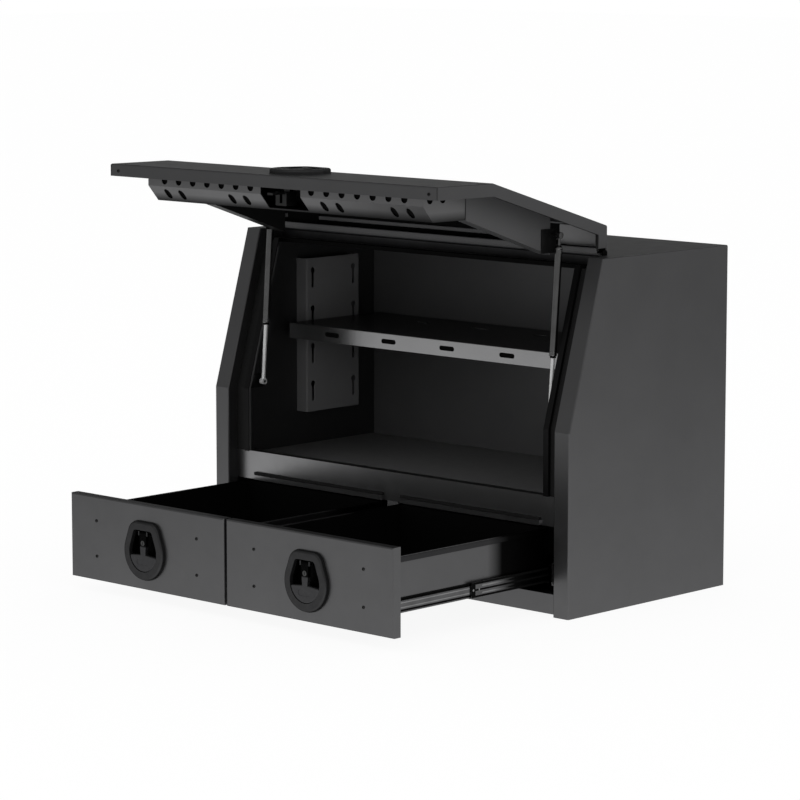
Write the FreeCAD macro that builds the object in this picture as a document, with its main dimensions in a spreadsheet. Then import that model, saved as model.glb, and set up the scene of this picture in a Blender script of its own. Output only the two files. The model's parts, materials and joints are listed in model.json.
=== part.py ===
# Tool chest: a sheet steel cabinet with an upward-swinging bent lid and two drawers.
# Every piece is drawn closed and in place, in millimetres, with y = 0 at the front
# of the cabinet, and is then set to its resting place: lid up, drawers pulled out.
import FreeCAD, Part
import math
import os
import re
import Sketcher

# Driving dimensions, in millimetres and degrees
SIZES = {
    "cabinet_width": 1200,
    "cabinet_depth": 590,
    "cabinet_height": 846,
    "bend_height": 443,
    "top_setback": 118,
    "sheet": 2,
    "edge_round": 4,
    "post_width": 48,
    "gutter_depth": 32,
    "gutter_width": 38,
    "gutter_wall": 10,
    "seal_lip": 14,
    "door_seal_play": 0.3,
    "base_bolt_hole": 11,
    "base_bolt_span_x": 1040,
    "base_bolt_span_y": 420,
    "lid_gap": 4,
    "lid_edge_depth": 30,
    "lid_overlap": 27,
    "lid_open_angle": 90.5,
    "lid_slit": 1.5,
    "lid_end_gap": 14,
    "hinge_setback": 72.5,
    "hinge_drop": 1.5,
    "hinge_pin_size": 5,
    "hinge_barrel": 8.4,
    "hinge_leaf_tall": 20,
    "hinge_leaf_thick": 1.5,
    "hinge_knuckles": 9,
    "hinge_play": 0.3,
    "pivot_play": 0.1,
    "sill_top": 282,
    "sill_bottom": 209.5,
    "sill_flange": 26,
    "floor_height": 258,
    "rail_setback": 26,
    "rail_top": 48,
    "rail_flange": 30,
    "divider_width": 36,
    "divider_depth": 528,
    "divider_flange_gap": 2,
    "drawer_side_gap": 5,
    "drawer_middle_gap": 8,
    "face_bottom": 31,
    "face_top": 239,
    "face_depth": 24,
    "face_return": 14,
    "face_screw_size": 8,
    "face_screw_tall": 2,
    "face_screw_x": 178,
    "face_screw_z": 44,
    "drawer_travel": 541.6,
    "tray_inset": 41,
    "tray_floor": 77,
    "tray_top": 207,
    "tray_depth": 545,
    "tray_sheet": 2,
    "hem_tall": 14,
    "hem_thick": 2,
    "slide_thick": 13,
    "slide_bottom": 75,
    "slide_tall": 40,
    "slide_sheet": 1.5,
    "slide_play": 0.3,
    "slide_rib_tall": 20,
    "slide_rib_out": 7.5,
    "slide_mount_tall": 54,
    "seal_bottom": 222,
    "seal_tall": 7,
    "seal_proud": 6.5,
    "seal_inner_end": 30,
    "sill_strip_tall": 11.5,
    "seal_end_gap": 29,
    "shelf_front": 228,
    "shelf_depth": 332,
    "shelf_top": 592,
    "shelf_lip": 40,
    "shelf_slot_pitch": 201,
    "shelf_slot_long": 50,
    "shelf_slot_tall": 12,
    "shelf_hole_wide": 14,
    "shelf_hole_back": 92,
    "bracket_front": 295,
    "bracket_depth": 198,
    "bracket_bottom": 348.5,
    "bracket_top": 754,
    "bracket_stand": 37,
    "bracket_gap": 4,
    "keyhole_head": 16,
    "keyhole_slot": 9,
    "keyhole_tall": 54,
    "keyhole_first": 376,
    "keyhole_pitch": 100,
    "keyhole_inset": 23,
    "keyhole_columns_apart": 152,
    "hook_size": 8,
    "hook_head": 13,
    "hook_head_thick": 3,
    "hook_rest": 0.3,
    "rail_end_inset": 2,
    "rail_low": 300,
    "rail_high": 442,
    "rail_deep": 89,
    "rail_slant_start": 51,
    "rail_slant_rise": 33,
    "rail_hole": 20,
    "rail_hole_first": 102,
    "rail_hole_pitch": 50,
    "rail_hole_depth_place": 36.2,
    "rail_end_hole_first": 23,
    "rail_end_hole_pitch": 43,
    "rail_oval_long": 24,
    "rail_oval_wide": 19,
    "rail_oval_first": 130,
    "rail_oval_second": 356,
    "rail_oval_pitch": 50,
    "rail_window_half": 67,
    "channel_wide": 35,
    "channel_strut_gap": 23,
    "channel_gap": 1,
    "channel_top": 739,
    "channel_deep_low": 90,
    "channel_deep_high": 101,
    "strut_side_gap": 5.4,
    "strut_foot_depth": 61,
    "strut_foot_height": 461,
    "strut_head_depth": 140,
    "strut_head_height": 746,
    "strut_tube_size": 18,
    "strut_rod_size": 10,
    "strut_neck_size": 8.5,
    "strut_neck_long": 19,
    "strut_eye_size": 16,
    "strut_eye_wide": 12,
    "strut_eye_gap": 1,
    "strut_stud_size": 8,
    "strut_open_pivot_gap": 0.3,
    "foot_plate_inset": 11,
    "foot_plate_low": 444,
    "foot_plate_tall": 36,
    "foot_plate_back": 78,
    "head_plate_low": 706,
    "head_plate_deep": 43,
    "head_plate_margin": 14,
    "latch_low_radius": 68,
    "latch_low_drop": 3,
    "latch_top_radius": 30,
    "latch_top_half": 24,
    "latch_top_rise": 41,
    "latch_proud": 11,
    "latch_round": 5,
    "latch_body_inset": 8,
    "latch_body_deep": 20,
    "latch_body_fit": 0.5,
    "latch_recess_inset": 20,
    "latch_recess_floor": 4,
    "lid_latch_height": 362,
    "drawer_latch_drop": 8,
    "handle_stem": 24,
    "handle_stem_low": 16,
    "handle_thick": 9,
    "handle_front": 10,
    "handle_fit": 0.6,
    "handle_paddle_top": 8,
    "handle_fall": 6,
    "handle_corner": 4,
    "handle_round": 2,
    "handle_oval_long": 44,
    "handle_oval_tall": 13,
    "handle_oval_drop": 27,
    "handle_oval_deep": 0.5,
    "handle_pivot_rise": 43,
    "handle_pivot_depth": 5,
    "handle_barrel": 10,
    "handle_pin": 5,
    "handle_ear": 4,
    "handle_ear_gap": 0.3,
    "lock_size": 13,
    "lock_rise": 20,
    "lock_long": 7,
    "lock_proud": 1,
    "key_slot_long": 8,
    "key_slot_wide": 1.6,
    "key_slot_deep": 3,
    "bolt_half": 9,
    "bolt_thick": 5,
    "bolt_place": 38,
    "bolt_reach": 13,
    "bolt_travel": 16,
    "bolt_foot_tall": 12,
    "bolt_foot_drop": 35,
    "bolt_play": 0.5,
    "bolt_slot_play": 1.5,
    "lid_bolt_place": 43,
    "lid_bolt_tip": 266,
    "lid_bolt_top": 334,
    "lid_claw_half": 18,
    "lid_claw_deep": 32,
    "lid_claw_wall": 6,
    "lid_claw_slot": 9,
    "striker_half": 30,
    "striker_depth": 20,
    "lid_screw_inset": 28,
    "lid_screw_depth": 17,
}

# Places and lengths that follow from the driving dimensions
PLACES = {
    "half": "cabinet_width / 2",
    "slope": "top_setback / (cabinet_height - bend_height)",
    "post_edge": "half - post_width",
    "wall_edge": "post_edge - gutter_width",
    "lip_edge": "wall_edge - seal_lip",
    "lip_depth": "gutter_depth - gutter_wall",
    "lid_half": "post_edge - lid_gap",
    "lid_bottom": "sill_top - lid_overlap",
    "hinge_depth": "top_setback + hinge_setback",
    "hinge_height": "cabinet_height - hinge_drop",
    "lid_back": "hinge_depth - hinge_barrel / 2 - hinge_play",
    "roof_front": "hinge_depth + hinge_barrel / 2 + hinge_play",
    "inner_half": "half - sheet",
    "gutter_floor": "cabinet_height - gutter_depth",
    "header_front": "roof_front - gutter_width",
    "back_face": "cabinet_depth - sheet",
    "seat_depth": "gutter_depth + sheet",
    "seal_half": "wall_edge - seal_end_gap",
    "lid_screw_place": "lid_half - lid_screw_inset",
    "foot_plate_place": "wall_edge - foot_plate_inset",
    "divider_half": "divider_width / 2",
    "divider_back": "gutter_depth + divider_depth",
    "face_in": "drawer_middle_gap / 2",
    "face_out": "post_edge - drawer_side_gap",
    "face_middle": "(face_in + face_out) / 2",
    "face_centre": "(face_bottom + face_top) / 2",
    "drawer_latch_height": "face_centre - drawer_latch_drop",
    "tray_in": "divider_half + slide_thick",
    "tray_out": "face_out - tray_inset",
    "tray_back": "face_depth + tray_depth",
    "slide_long": "tray_depth",
    "mount_edge": "tray_out + slide_thick",
    "slide_middle": "slide_bottom + slide_tall / 2",
    "slide_back": "face_depth + slide_long",
    "shelf_back": "shelf_front + shelf_depth",
    "bracket_edge": "inner_half - bracket_stand",
    "shelf_half": "bracket_edge - bracket_gap",
    "bracket_back": "bracket_front + bracket_depth",
    "strut_place": "lip_edge - strut_side_gap - strut_tube_size / 2",
    "channel_outer": "strut_place - channel_strut_gap",
    "channel_inner": "channel_outer - channel_wide",
    "rail_half": "channel_outer - rail_end_inset",
    "channel_low": "rail_high + channel_gap",
    "strut_open_depth": "hinge_depth + (strut_head_depth - hinge_depth) * cos(lid_open_angle)"
                        " + (strut_head_height - hinge_height) * sin(lid_open_angle)",
    "strut_open_height": "hinge_height - (strut_head_depth - hinge_depth) * sin(lid_open_angle)"
                         " + (strut_head_height - hinge_height) * cos(lid_open_angle)",
    "strut_open_run": "strut_open_depth - strut_foot_depth",
    "strut_open_rise": "strut_open_height - strut_foot_height",
    "strut_open_long": "sqrt(strut_open_run * strut_open_run + strut_open_rise * strut_open_rise)",
    "strut_shut_run": "strut_head_depth - strut_foot_depth",
    "strut_shut_rise": "strut_head_height - strut_foot_height",
    "strut_shut_long": "sqrt(strut_shut_run * strut_shut_run + strut_shut_rise * strut_shut_rise)",
    "eye_radius": "strut_eye_size / 2",
    "tube_top": "strut_open_long - eye_radius - strut_neck_long",
    "tube_bottom": "strut_open_long - strut_shut_long + eye_radius + strut_eye_gap",
    "rod_top": "strut_shut_long - strut_eye_size - strut_neck_long",
    "pivot_radius": "handle_barrel / 2",
    "bolt_top": "sill_bottom + bolt_reach",
}

document = FreeCAD.newDocument("ToolChest")
sheet = document.addObject("Spreadsheet::Sheet", "Sizes")
for row, (word, size) in enumerate(SIZES.items(), start=1):
    sheet.set("A{}".format(row), word)
    sheet.set("B{}".format(row), str(size))
    sheet.setAlias("B{}".format(row), word)
document.recompute()


def formula(text):
    """Spell a formula out, from named places down to cells of the sheet."""
    def spell(match):
        word = match.group(0)
        if word in SIZES:
            return "Sizes." + word
        if word in PLACES:
            return "(" + formula(PLACES[word]) + ")"
        return word
    return re.sub(r"[a-z][a-z_]*", spell, str(text))


def value(text):
    """The number that a formula gives with the sheet's present values."""
    result = sheet.evalExpression(formula(text))
    return float(getattr(result, "Value", result))


# Outlines: each function gives one that draws a closed outline on a sketch

def pin_point(sketch, geometry, point, u, v):
    """Tie one point of a sketch to its place, measured from the sketch's origin."""
    for kind, place in (("DistanceX", u), ("DistanceY", v)):
        rule = Sketcher.Constraint(kind, -1, 1, geometry, point, value(place))
        index = sketch.addConstraint(rule)
        sketch.setExpression("Constraints[{}]".format(index), formula(place))


def polygon(*points):
    def draw(sketch):
        first = sketch.GeometryCount
        spots = [FreeCAD.Vector(value(u), value(v), 0) for u, v in points]
        for here, there in zip(spots, spots[1:] + spots[:1]):
            sketch.addGeometry(Part.LineSegment(here, there), False)
        for index, (u, v) in enumerate(points):
            after = first + (index + 1) % len(points)
            sketch.addConstraint(Sketcher.Constraint("Coincident", first + index, 2, after, 1))
            pin_point(sketch, first + index, 1, u, v)
    return draw


def rectangle(u_low, v_low, u_high, v_high):
    return polygon((u_low, v_low), (u_high, v_low), (u_high, v_high), (u_low, v_high))


def circle(u, v, size):
    def draw(sketch):
        index = sketch.GeometryCount
        middle = FreeCAD.Vector(value(u), value(v), 0)
        sketch.addGeometry(Part.Circle(middle, FreeCAD.Vector(0, 0, 1), value(size) / 2), False)
        pin_point(sketch, index, 3, u, v)
        rule = sketch.addConstraint(Sketcher.Constraint("Diameter", index, value(size)))
        sketch.setExpression("Constraints[{}]".format(rule), formula(size))
    return draw


def belt(*wheels):
    """The outline of a belt round wheels (u, v, radius), listed counterclockwise."""
    def draw(sketch):
        first = sketch.GeometryCount
        count = len(wheels)
        spots = [(value(u), value(v), value(r)) for u, v, r in wheels]
        leaving = []
        for here, there in zip(spots, spots[1:] + spots[:1]):
            run = math.hypot(there[0] - here[0], there[1] - here[1])
            heading = math.atan2(there[1] - here[1], there[0] - here[0])
            leaving.append(heading - math.acos((here[2] - there[2]) / run))
        for index, (u, v, r) in enumerate(spots):
            circle_here = Part.Circle(FreeCAD.Vector(u, v, 0), FreeCAD.Vector(0, 0, 1), r)
            start = leaving[index - 1]
            sweep = (leaving[index] - start) % (2 * math.pi)
            sketch.addGeometry(Part.ArcOfCircle(circle_here, start, start + sweep), False)
        for index, here in enumerate(spots):
            there = spots[(index + 1) % count]
            out = FreeCAD.Vector(math.cos(leaving[index]), math.sin(leaving[index]), 0)
            begin = FreeCAD.Vector(here[0], here[1], 0) + out * here[2]
            end = FreeCAD.Vector(there[0], there[1], 0) + out * there[2]
            sketch.addGeometry(Part.LineSegment(begin, end), False)
        for index, (u, v, r) in enumerate(wheels):
            pin_point(sketch, first + index, 3, u, v)
            rule = sketch.addConstraint(Sketcher.Constraint("Radius", first + index, value(r)))
            sketch.setExpression("Constraints[{}]".format(rule), formula(r))
            line = first + count + index
            after = first + (index + 1) % count
            sketch.addConstraint(Sketcher.Constraint("Tangent", first + index, 2, line, 1))
            sketch.addConstraint(Sketcher.Constraint("Tangent", line, 2, after, 1))
    return draw


def slot(u, v, long_u, long_v):
    """A round-ended slot about (u, v); the longer of its two sizes is its length."""
    if value(long_u) > value(long_v):
        radius = "({}) / 2".format(long_v)
        reach = "(({}) - ({})) / 2".format(long_u, long_v)
        return belt(("({}) - {}".format(u, reach), v, radius), ("({}) + {}".format(u, reach), v, radius))
    radius = "({}) / 2".format(long_u)
    reach = "(({}) - ({})) / 2".format(long_v, long_u)
    return belt((u, "({}) - {}".format(v, reach), radius), (u, "({}) + {}".format(v, reach), radius))


def front_point(depth, height):
    """A point of the side view at a depth behind the bent front line."""
    if value(height) <= value("bend_height"):
        return (depth, height)
    return ("({}) + slope * (({}) - bend_height)".format(depth, height), height)


def front_band(near, far, low, high):
    """A strip of the side view between two depths behind the bent front line."""
    points = [front_point(near, low), front_point(far, low)]
    if value(low) < value("bend_height") < value(high):
        points.append((far, "bend_height"))
    points += [front_point(far, high), front_point(near, high)]
    if value(low) < value("bend_height") < value(high):
        points.append((near, "bend_height"))
    return polygon(*points)


def hood_band(near, far, low, back):
    """A strip that follows the bent front, turns the top corner and runs back."""
    def top(depth):
        return "cabinet_height - ({})".format(depth)
    points = [(near, low), (far, low), (far, "bend_height"), front_point(far, top(far)),
              (back, top(far)), (back, top(near)), front_point(near, top(near)), (near, "bend_height")]
    return polygon(*points)


class Piece:
    """One separate piece of the chest; a piece with several solids is a set of alike parts."""

    def __init__(self, label):
        self.body = document.addObject("PartDesign::Body", label)
        self.body.Label = label
        self.body.AllowCompound = True
        self.steps = 0

    def sketch(self, plane, offset, outlines):
        self.steps += 1
        name = "{}_outline_{}".format(self.body.Name, self.steps)
        sketch = self.body.newObject("Sketcher::SketchObject", name)
        for feature in self.body.Origin.OriginFeatures:
            if feature.Role == plane + "_Plane":
                sketch.AttachmentSupport = [(feature, "")]
        sketch.MapMode = "FlatFace"
        sketch.setExpression(".AttachmentOffset.Base.z", formula(offset))
        for outline in outlines:
            outline(sketch)
        return sketch

    def feature(self, kind, plane, offset, start, end, outlines):
        sketch = self.sketch(plane, offset, outlines)
        name = "{}_{}_{}".format(self.body.Name, kind, self.steps)
        feature = self.body.newObject("PartDesign::" + kind, name)
        feature.Profile = sketch
        feature.setExpression("Length", formula("({}) - ({})".format(end, start)))
        sketch.Visibility = False
        self.body.Tip = feature
        return self

    def pad(self, plane, start, end, *outlines):
        """Add material between two places along the plane's axis."""
        offset = "-({})".format(end) if plane == "XZ" else start
        return self.feature("Pad", plane, offset, start, end, outlines)

    def pocket(self, plane, start, end, *outlines):
        """Take material away between two places along the plane's axis."""
        document.recompute()
        before = self.body.Shape.Volume
        offset = "-({})".format(start) if plane == "XZ" else end
        self.feature("Pocket", plane, offset, start, end, outlines)
        document.recompute()
        if self.body.Shape.Volume > before - 0.001:
            raise ValueError("a cut takes nothing from " + self.body.Label)
        return self

    def round_edges(self, radius, chosen):
        """Round the edges whose ends are all chosen, given as a test of a point."""
        document.recompute()
        base = self.body.Tip
        names = []
        for index, edge in enumerate(base.Shape.Edges, start=1):
            spots = [vertex.Point for vertex in edge.Vertexes] + [edge.CenterOfMass]
            if all(chosen(spot) for spot in spots):
                names.append("Edge{}".format(index))
        if not names:
            raise ValueError("no edge to round on " + self.body.Label)
        self.steps += 1
        name = "{}_round_{}".format(self.body.Name, self.steps)
        fillet = self.body.newObject("PartDesign::Fillet", name)
        fillet.Base = (base, names)
        fillet.setExpression("Radius", formula(radius))
        self.body.Tip = fillet
        document.recompute()
        if "Invalid" in fillet.State:
            raise ValueError("a rounded edge fails on " + self.body.Label)
        return self

    def place(self, along_y="0", along_z="0", lean="0"):
        """Set the piece to its resting place, turned about the x axis by lean."""
        about_x = FreeCAD.Rotation(FreeCAD.Vector(1, 0, 0), 1)
        self.body.Placement = FreeCAD.Placement(FreeCAD.Vector(), about_x)
        self.body.setExpression("Placement.Base.y", formula("{} - cabinet_depth / 2".format(along_y)))
        self.body.setExpression("Placement.Base.z", formula(along_z))
        self.body.setExpression("Placement.Rotation.Angle", formula(lean))
        return self

    def place_on(self, carrier):
        if carrier == "drawer":
            return self.place("-drawer_travel")
        if carrier == "slide":
            return self.place("-drawer_travel / 2")
        if carrier == "lid":
            back = "hinge_depth - hinge_depth * cos(lid_open_angle) - hinge_height * sin(lid_open_angle)"
            rise = "hinge_height + hinge_depth * sin(lid_open_angle) - hinge_height * cos(lid_open_angle)"
            return self.place(back, rise, "-lid_open_angle")
        if carrier == "strut":
            return self.place("strut_foot_depth", "strut_foot_height",
                              "-atan(strut_open_run / strut_open_rise)")
        return self.place()


def outward(side, inner, outer):
    """The two ends, lower first, of a span on the left or right of the middle."""
    if side == "right":
        return (inner, outer)
    return ("-({})".format(outer), "-({})".format(inner))


def signed(side, place):
    return place if side == "right" else "-({})".format(place)


def same(first, second):
    return abs(first - second) < 0.001


# Cabinet

def side_panel(side):
    """A side sheet folded round into the front post, the jamb and the top edge."""
    past_back = "cabinet_depth + 1"
    under_roof = "cabinet_height - sheet"
    whole = polygon(("0", "0"), ("cabinet_depth", "0"), ("cabinet_depth", "cabinet_height"),
                    ("top_setback", "cabinet_height"), ("0", "bend_height"))
    inside = polygon(("sheet", "-1"), (past_back, "-1"), (past_back, under_roof),
                     front_point("sheet", under_roof), ("sheet", "bend_height"))
    behind_jamb = polygon(("gutter_depth", "-1"), (past_back, "-1"), (past_back, under_roof),
                          ("roof_front", under_roof), ("roof_front", "gutter_floor"),
                          front_point("gutter_depth", "gutter_floor"), ("gutter_depth", "bend_height"))
    above_roof = rectangle("roof_front", under_roof, past_back, "cabinet_height + 1")
    piece = Piece("side_panel_" + side)
    piece.pad("YZ", *outward(side, "post_edge", "half"), whole)
    outer = value("half")
    edge = value("post_edge")

    def folded(spot):
        on_front = same(spot.y, value(front_point("0", str(spot.z))[0]))
        on_top = same(spot.z, value("cabinet_height"))
        if same(abs(spot.x), outer):
            return on_front or on_top
        return same(abs(spot.x), edge) and on_front
    piece.round_edges("edge_round", folded)
    piece.pocket("YZ", *outward(side, "post_edge + sheet", "inner_half"), inside)
    piece.pocket("YZ", *outward(side, "post_edge - 1", "post_edge + sheet"), behind_jamb)
    piece.pocket("YZ", *outward(side, "post_edge - 1", "inner_half"), above_roof)
    return piece.place()


def back_panel():
    return Piece("back_panel").pad("XZ", "back_face", "cabinet_depth", rectangle(
        "-inner_half", "0", "inner_half", "cabinet_height - sheet")).place()


def roof_panel():
    """The roof sheet, with a lip folded down along its front edge behind the hinge."""
    piece = Piece("roof_panel")
    piece.pad("XY", "cabinet_height - sheet", "cabinet_height", rectangle(
        "-inner_half", "roof_front", "inner_half", "cabinet_depth"))
    piece.pad("XZ", "roof_front", "roof_front + sheet", rectangle(
        "-post_edge", "cabinet_height - gutter_depth - sheet", "post_edge", "cabinet_height - sheet"))
    return piece.place()


def base_pan():
    """The bottom sheet, with four holes for bolting the chest down."""
    piece = Piece("base_pan")
    piece.pad("XY", "0", "sheet", rectangle("-inner_half", "gutter_depth", "inner_half", "back_face"))
    spots = [("{} * base_bolt_span_x / 2".format(i), "(cabinet_depth + {} * base_bolt_span_y) / 2".format(j))
             for i in (-1, 1) for j in (-1, 1)]
    holes = [circle(x, y, "base_bolt_hole") for x, y in spots]
    piece.pocket("XY", "-1", "sheet + 1", *holes)
    return piece.place()


def door_frame_side(side):
    """The rain gutter beside the opening: floor, inner wall and sealing lip."""
    piece = Piece("door_frame_" + side)
    piece.pad("YZ", *outward(side, "wall_edge", "post_edge"),
              hood_band("gutter_depth", "seat_depth", "sill_top", "header_front"))
    piece.pad("YZ", *outward(side, "wall_edge + sheet", "post_edge"), rectangle(
        "header_front - sheet", "gutter_floor - sheet", "roof_front", "gutter_floor"))
    piece.pad("YZ", *outward(side, "wall_edge", "wall_edge + sheet"),
              hood_band("lip_depth", "seat_depth", "sill_top", "header_front"))
    piece.pad("YZ", *outward(side, "lip_edge", "wall_edge + sheet"),
              hood_band("lip_depth", "lip_depth + sheet", "sill_top", "header_front"))
    return piece.place()


def door_frame_top():
    """The rain gutter under the hinge, with its wall and sealing lip."""
    lip_top = "cabinet_height - lip_depth"
    low = "gutter_floor - sheet"
    wall_back = "header_front + sheet"
    span = ("-(wall_edge + sheet)", "wall_edge + sheet")
    piece = Piece("door_frame_top")
    piece.pad("YZ", *span, rectangle("header_front", low, "roof_front", "gutter_floor"))
    piece.pad("YZ", *span, rectangle("header_front", low, wall_back, lip_top))
    piece.pad("YZ", "-lip_edge", "lip_edge", rectangle(
        "header_front - seal_lip", lip_top + " - sheet", wall_back, lip_top))
    return piece.place()


def over_drawer(side, low, tall):
    """The outline of a strip along the sill, over one drawer."""
    near, far = outward(side, "seal_inner_end", "seal_half")
    return rectangle(near, low, far, "{} + {}".format(low, tall))


def sill_rail():
    """The cross rail over the drawers, with a proud stop strip for each drawer's face."""
    back = "gutter_depth + sill_flange"
    span = ("-post_edge", "post_edge")
    piece = Piece("sill_rail")
    piece.pad("YZ", *span, rectangle("gutter_depth", "sill_bottom", "seat_depth", "sill_top"))
    piece.pad("YZ", *span, rectangle("gutter_depth", "sill_top - sheet", back, "sill_top"))
    piece.pad("YZ", *span, rectangle(back + " - sheet", "floor_height", back, "sill_top"))
    piece.pad("YZ", *span, rectangle("gutter_depth", "sill_bottom", back, "sill_bottom + sheet"))
    strips = [over_drawer(side, "sill_bottom", "sill_strip_tall") for side in ("left", "right")]
    piece.pad("XZ", "gutter_depth - seal_proud", "gutter_depth", *strips)
    piece.pocket("XY", "sill_top - 2 * sheet", "sill_top + 1", rectangle(
        "-bolt_half - bolt_slot_play", "lid_bolt_place - bolt_slot_play",
        "bolt_half + bolt_slot_play", "lid_bolt_place + bolt_thick + bolt_slot_play"))
    slots = [bolt_slot(side) for side in ("left", "right")]
    piece.pocket("XY", "sill_bottom - 1", "sill_bottom + 2 * sheet", *slots)
    return piece.place()


def door_seal():
    """The flat rubber strip in the gutter round the opening, that the lid's edges close against."""
    near = "lid_edge_depth + door_seal_play"
    piece = Piece("door_seal")
    for side in ("left", "right"):
        piece.pad("YZ", *outward(side, "wall_edge + sheet", "post_edge"), hood_band(
            near, "gutter_depth", "sill_top", "header_front + sheet"))
    piece.pad("YZ", "-post_edge", "post_edge", rectangle(
        "header_front + sheet", "gutter_floor", "roof_front", "cabinet_height - ({})".format(near)))
    return piece.place()


def bolt_slot(side):
    """The opening that a drawer's latch bolt rises through."""
    reach = "(bolt_half + bolt_slot_play)"
    low, high = outward(side, "face_middle - " + reach, "face_middle + " + reach)
    return rectangle(low, "bolt_place - bolt_slot_play", high, "bolt_place + bolt_thick + bolt_slot_play")


def striker_plates():
    """Slotted wear plates on the sill, one over each drawer."""
    piece = Piece("latch_strikers")
    plates = []
    for side in ("left", "right"):
        low, high = outward(side, "face_middle - striker_half", "face_middle + striker_half")
        plates.append(rectangle(low, "seat_depth", high, "seat_depth + striker_depth"))
    piece.pad("XY", "sill_bottom + sheet", "sill_bottom + 2 * sheet", *plates)
    slots = [bolt_slot(side) for side in ("left", "right")]
    piece.pocket("XY", "sill_bottom", "sill_bottom + 3 * sheet", *slots)
    return piece.place()


def bottom_rail():
    """The low rail under the drawers, with a flange folded back along its top."""
    piece = Piece("bottom_rail")
    span = ("-post_edge", "post_edge")
    back = "rail_setback + rail_flange"
    piece.pad("YZ", *span, rectangle("rail_setback", "0", "rail_setback + sheet", "rail_top"))
    piece.pad("YZ", *span, rectangle("rail_setback", "rail_top - sheet", back, "rail_top"))
    return piece.place()


def centre_divider():
    """The hollow post between the drawers, which carries their inner slides."""
    rail_back = "rail_setback + rail_flange + divider_flange_gap"
    sill_back = "gutter_depth + sill_flange + divider_flange_gap"
    profile = polygon(("gutter_depth", "rail_top"), (rail_back, "rail_top"), (rail_back, "sheet"),
                      ("divider_back", "sheet"), ("divider_back", "floor_height - sheet"),
                      (sill_back, "floor_height - sheet"), (sill_back, "sill_bottom"),
                      ("gutter_depth", "sill_bottom"))
    piece = Piece("centre_divider")
    piece.pad("YZ", "-divider_half", "divider_half", profile)
    piece.pocket("XY", "-1", "floor_height + 1", rectangle(
        "-divider_half + sheet", "seat_depth", "divider_half - sheet", "divider_back - sheet"))
    return piece.place()


def compartment_floor():
    return Piece("compartment_floor").pad("XY", "floor_height - sheet", "floor_height", rectangle(
        "-inner_half", "seat_depth", "inner_half", "back_face")).place()


def drawer_seal():
    """The rubber strips on the sill that the drawer faces close against."""
    strips = [over_drawer(side, "seal_bottom", "seal_tall") for side in ("left", "right")]
    return Piece("drawer_dust_seal").pad("XZ", "gutter_depth - seal_proud", "gutter_depth", *strips).place()


def shelf():
    """A folded shelf, with slots in its front lip and finger holes near its back."""
    piece = Piece("shelf")
    piece.pad("XY", "shelf_top - shelf_lip", "shelf_top", rectangle(
        "-shelf_half", "shelf_front", "shelf_half", "shelf_back"))
    piece.round_edges("edge_round / 2", lambda spot: same(spot.y, value("shelf_front"))
                      and same(spot.z, value("shelf_top")))
    piece.pocket("XY", "shelf_top - shelf_lip - 1", "shelf_top - sheet", rectangle(
        "-shelf_half + sheet", "shelf_front + sheet", "shelf_half - sheet", "shelf_back - sheet"))
    slots = [slot("{} * shelf_slot_pitch".format(i), "shelf_top - shelf_lip / 2", "shelf_slot_long",
                  "shelf_slot_tall") for i in (-2, -1, 0, 1, 2)]
    piece.pocket("XZ", "shelf_front - 1", "shelf_front + sheet + 1", *slots)
    holes = [slot("{} * shelf_slot_pitch / 2".format(i), "shelf_back - shelf_hole_back", "shelf_slot_long",
                  "shelf_hole_wide") for i in (-3, -1, 1, 3)]
    piece.pocket("XY", "shelf_top - sheet - 1", "shelf_top + 1", *holes)
    return piece.place()


def shelf_bracket(side):
    """A hat-shaped rail on the side wall with two columns of keyholes."""
    piece = Piece("shelf_bracket_" + side)
    piece.pad("YZ", *outward(side, "bracket_edge", "inner_half"), rectangle(
        "bracket_front", "bracket_bottom", "bracket_back", "bracket_top"))
    edge = value("bracket_edge")
    piece.round_edges("edge_round", lambda spot: same(abs(spot.x), edge) and not (
        value("bracket_front") + 1 < spot.y < value("bracket_back") - 1))
    piece.pocket("YZ", *outward(side, "bracket_edge + sheet", "inner_half + 1"), rectangle(
        "bracket_front + sheet", "bracket_bottom - 1", "bracket_back - sheet", "bracket_top + 1"))
    heads = []
    slots = []
    for column in (0, 1):
        y = "bracket_front + keyhole_inset + {} * keyhole_columns_apart".format(column)
        for row in range(4):
            low = "keyhole_first + {} * keyhole_pitch".format(row)
            heads.append(circle(y, low + " + keyhole_tall - keyhole_head / 2", "keyhole_head"))
            slots.append(slot(y, low + " + keyhole_tall / 2 - keyhole_slot / 2",
                              "keyhole_slot", "keyhole_tall - keyhole_slot"))
    through = outward(side, "bracket_edge - 1", "bracket_edge + sheet + 1")
    piece.pocket("YZ", *through, *heads)
    piece.pocket("YZ", *through, *slots)
    return piece.place()


def shelf_hooks():
    """Headed studs on the ends of the shelf, hooked into the second row of keyholes."""
    piece = Piece("shelf_hooks")
    height = "keyhole_first + 2 * keyhole_pitch + hook_size / 2 + hook_rest"
    columns = ["bracket_front + keyhole_inset + {} * keyhole_columns_apart".format(i) for i in (0, 1)]
    for side in ("left", "right"):
        shank = [circle(y, height, "hook_size") for y in columns]
        head = [circle(y, height, "hook_head") for y in columns]
        back = "bracket_edge + sheet + slide_play"
        piece.pad("YZ", *outward(side, "shelf_half", back), *shank)
        piece.pad("YZ", *outward(side, back, back + " + hook_head_thick"), *head)
    return piece.place()


def slide_mount(side):
    """The rail on a side wall that carries the outer slide of a drawer."""
    low = "slide_middle - slide_mount_tall / 2"
    high = "slide_middle + slide_mount_tall / 2"
    piece = Piece("slide_mount_" + side)
    near = signed(side, "mount_edge")
    web = signed(side, "mount_edge + sheet")
    wall = signed(side, "inner_half")
    profile = polygon((wall, low), (near, low), (near, high), (wall, high), (wall, high + " - sheet"),
                      (web, high + " - sheet"), (web, low + " + sheet"), (wall, low + " + sheet"))
    return piece.pad("XZ", "seat_depth", "slide_back", profile).place()


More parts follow.
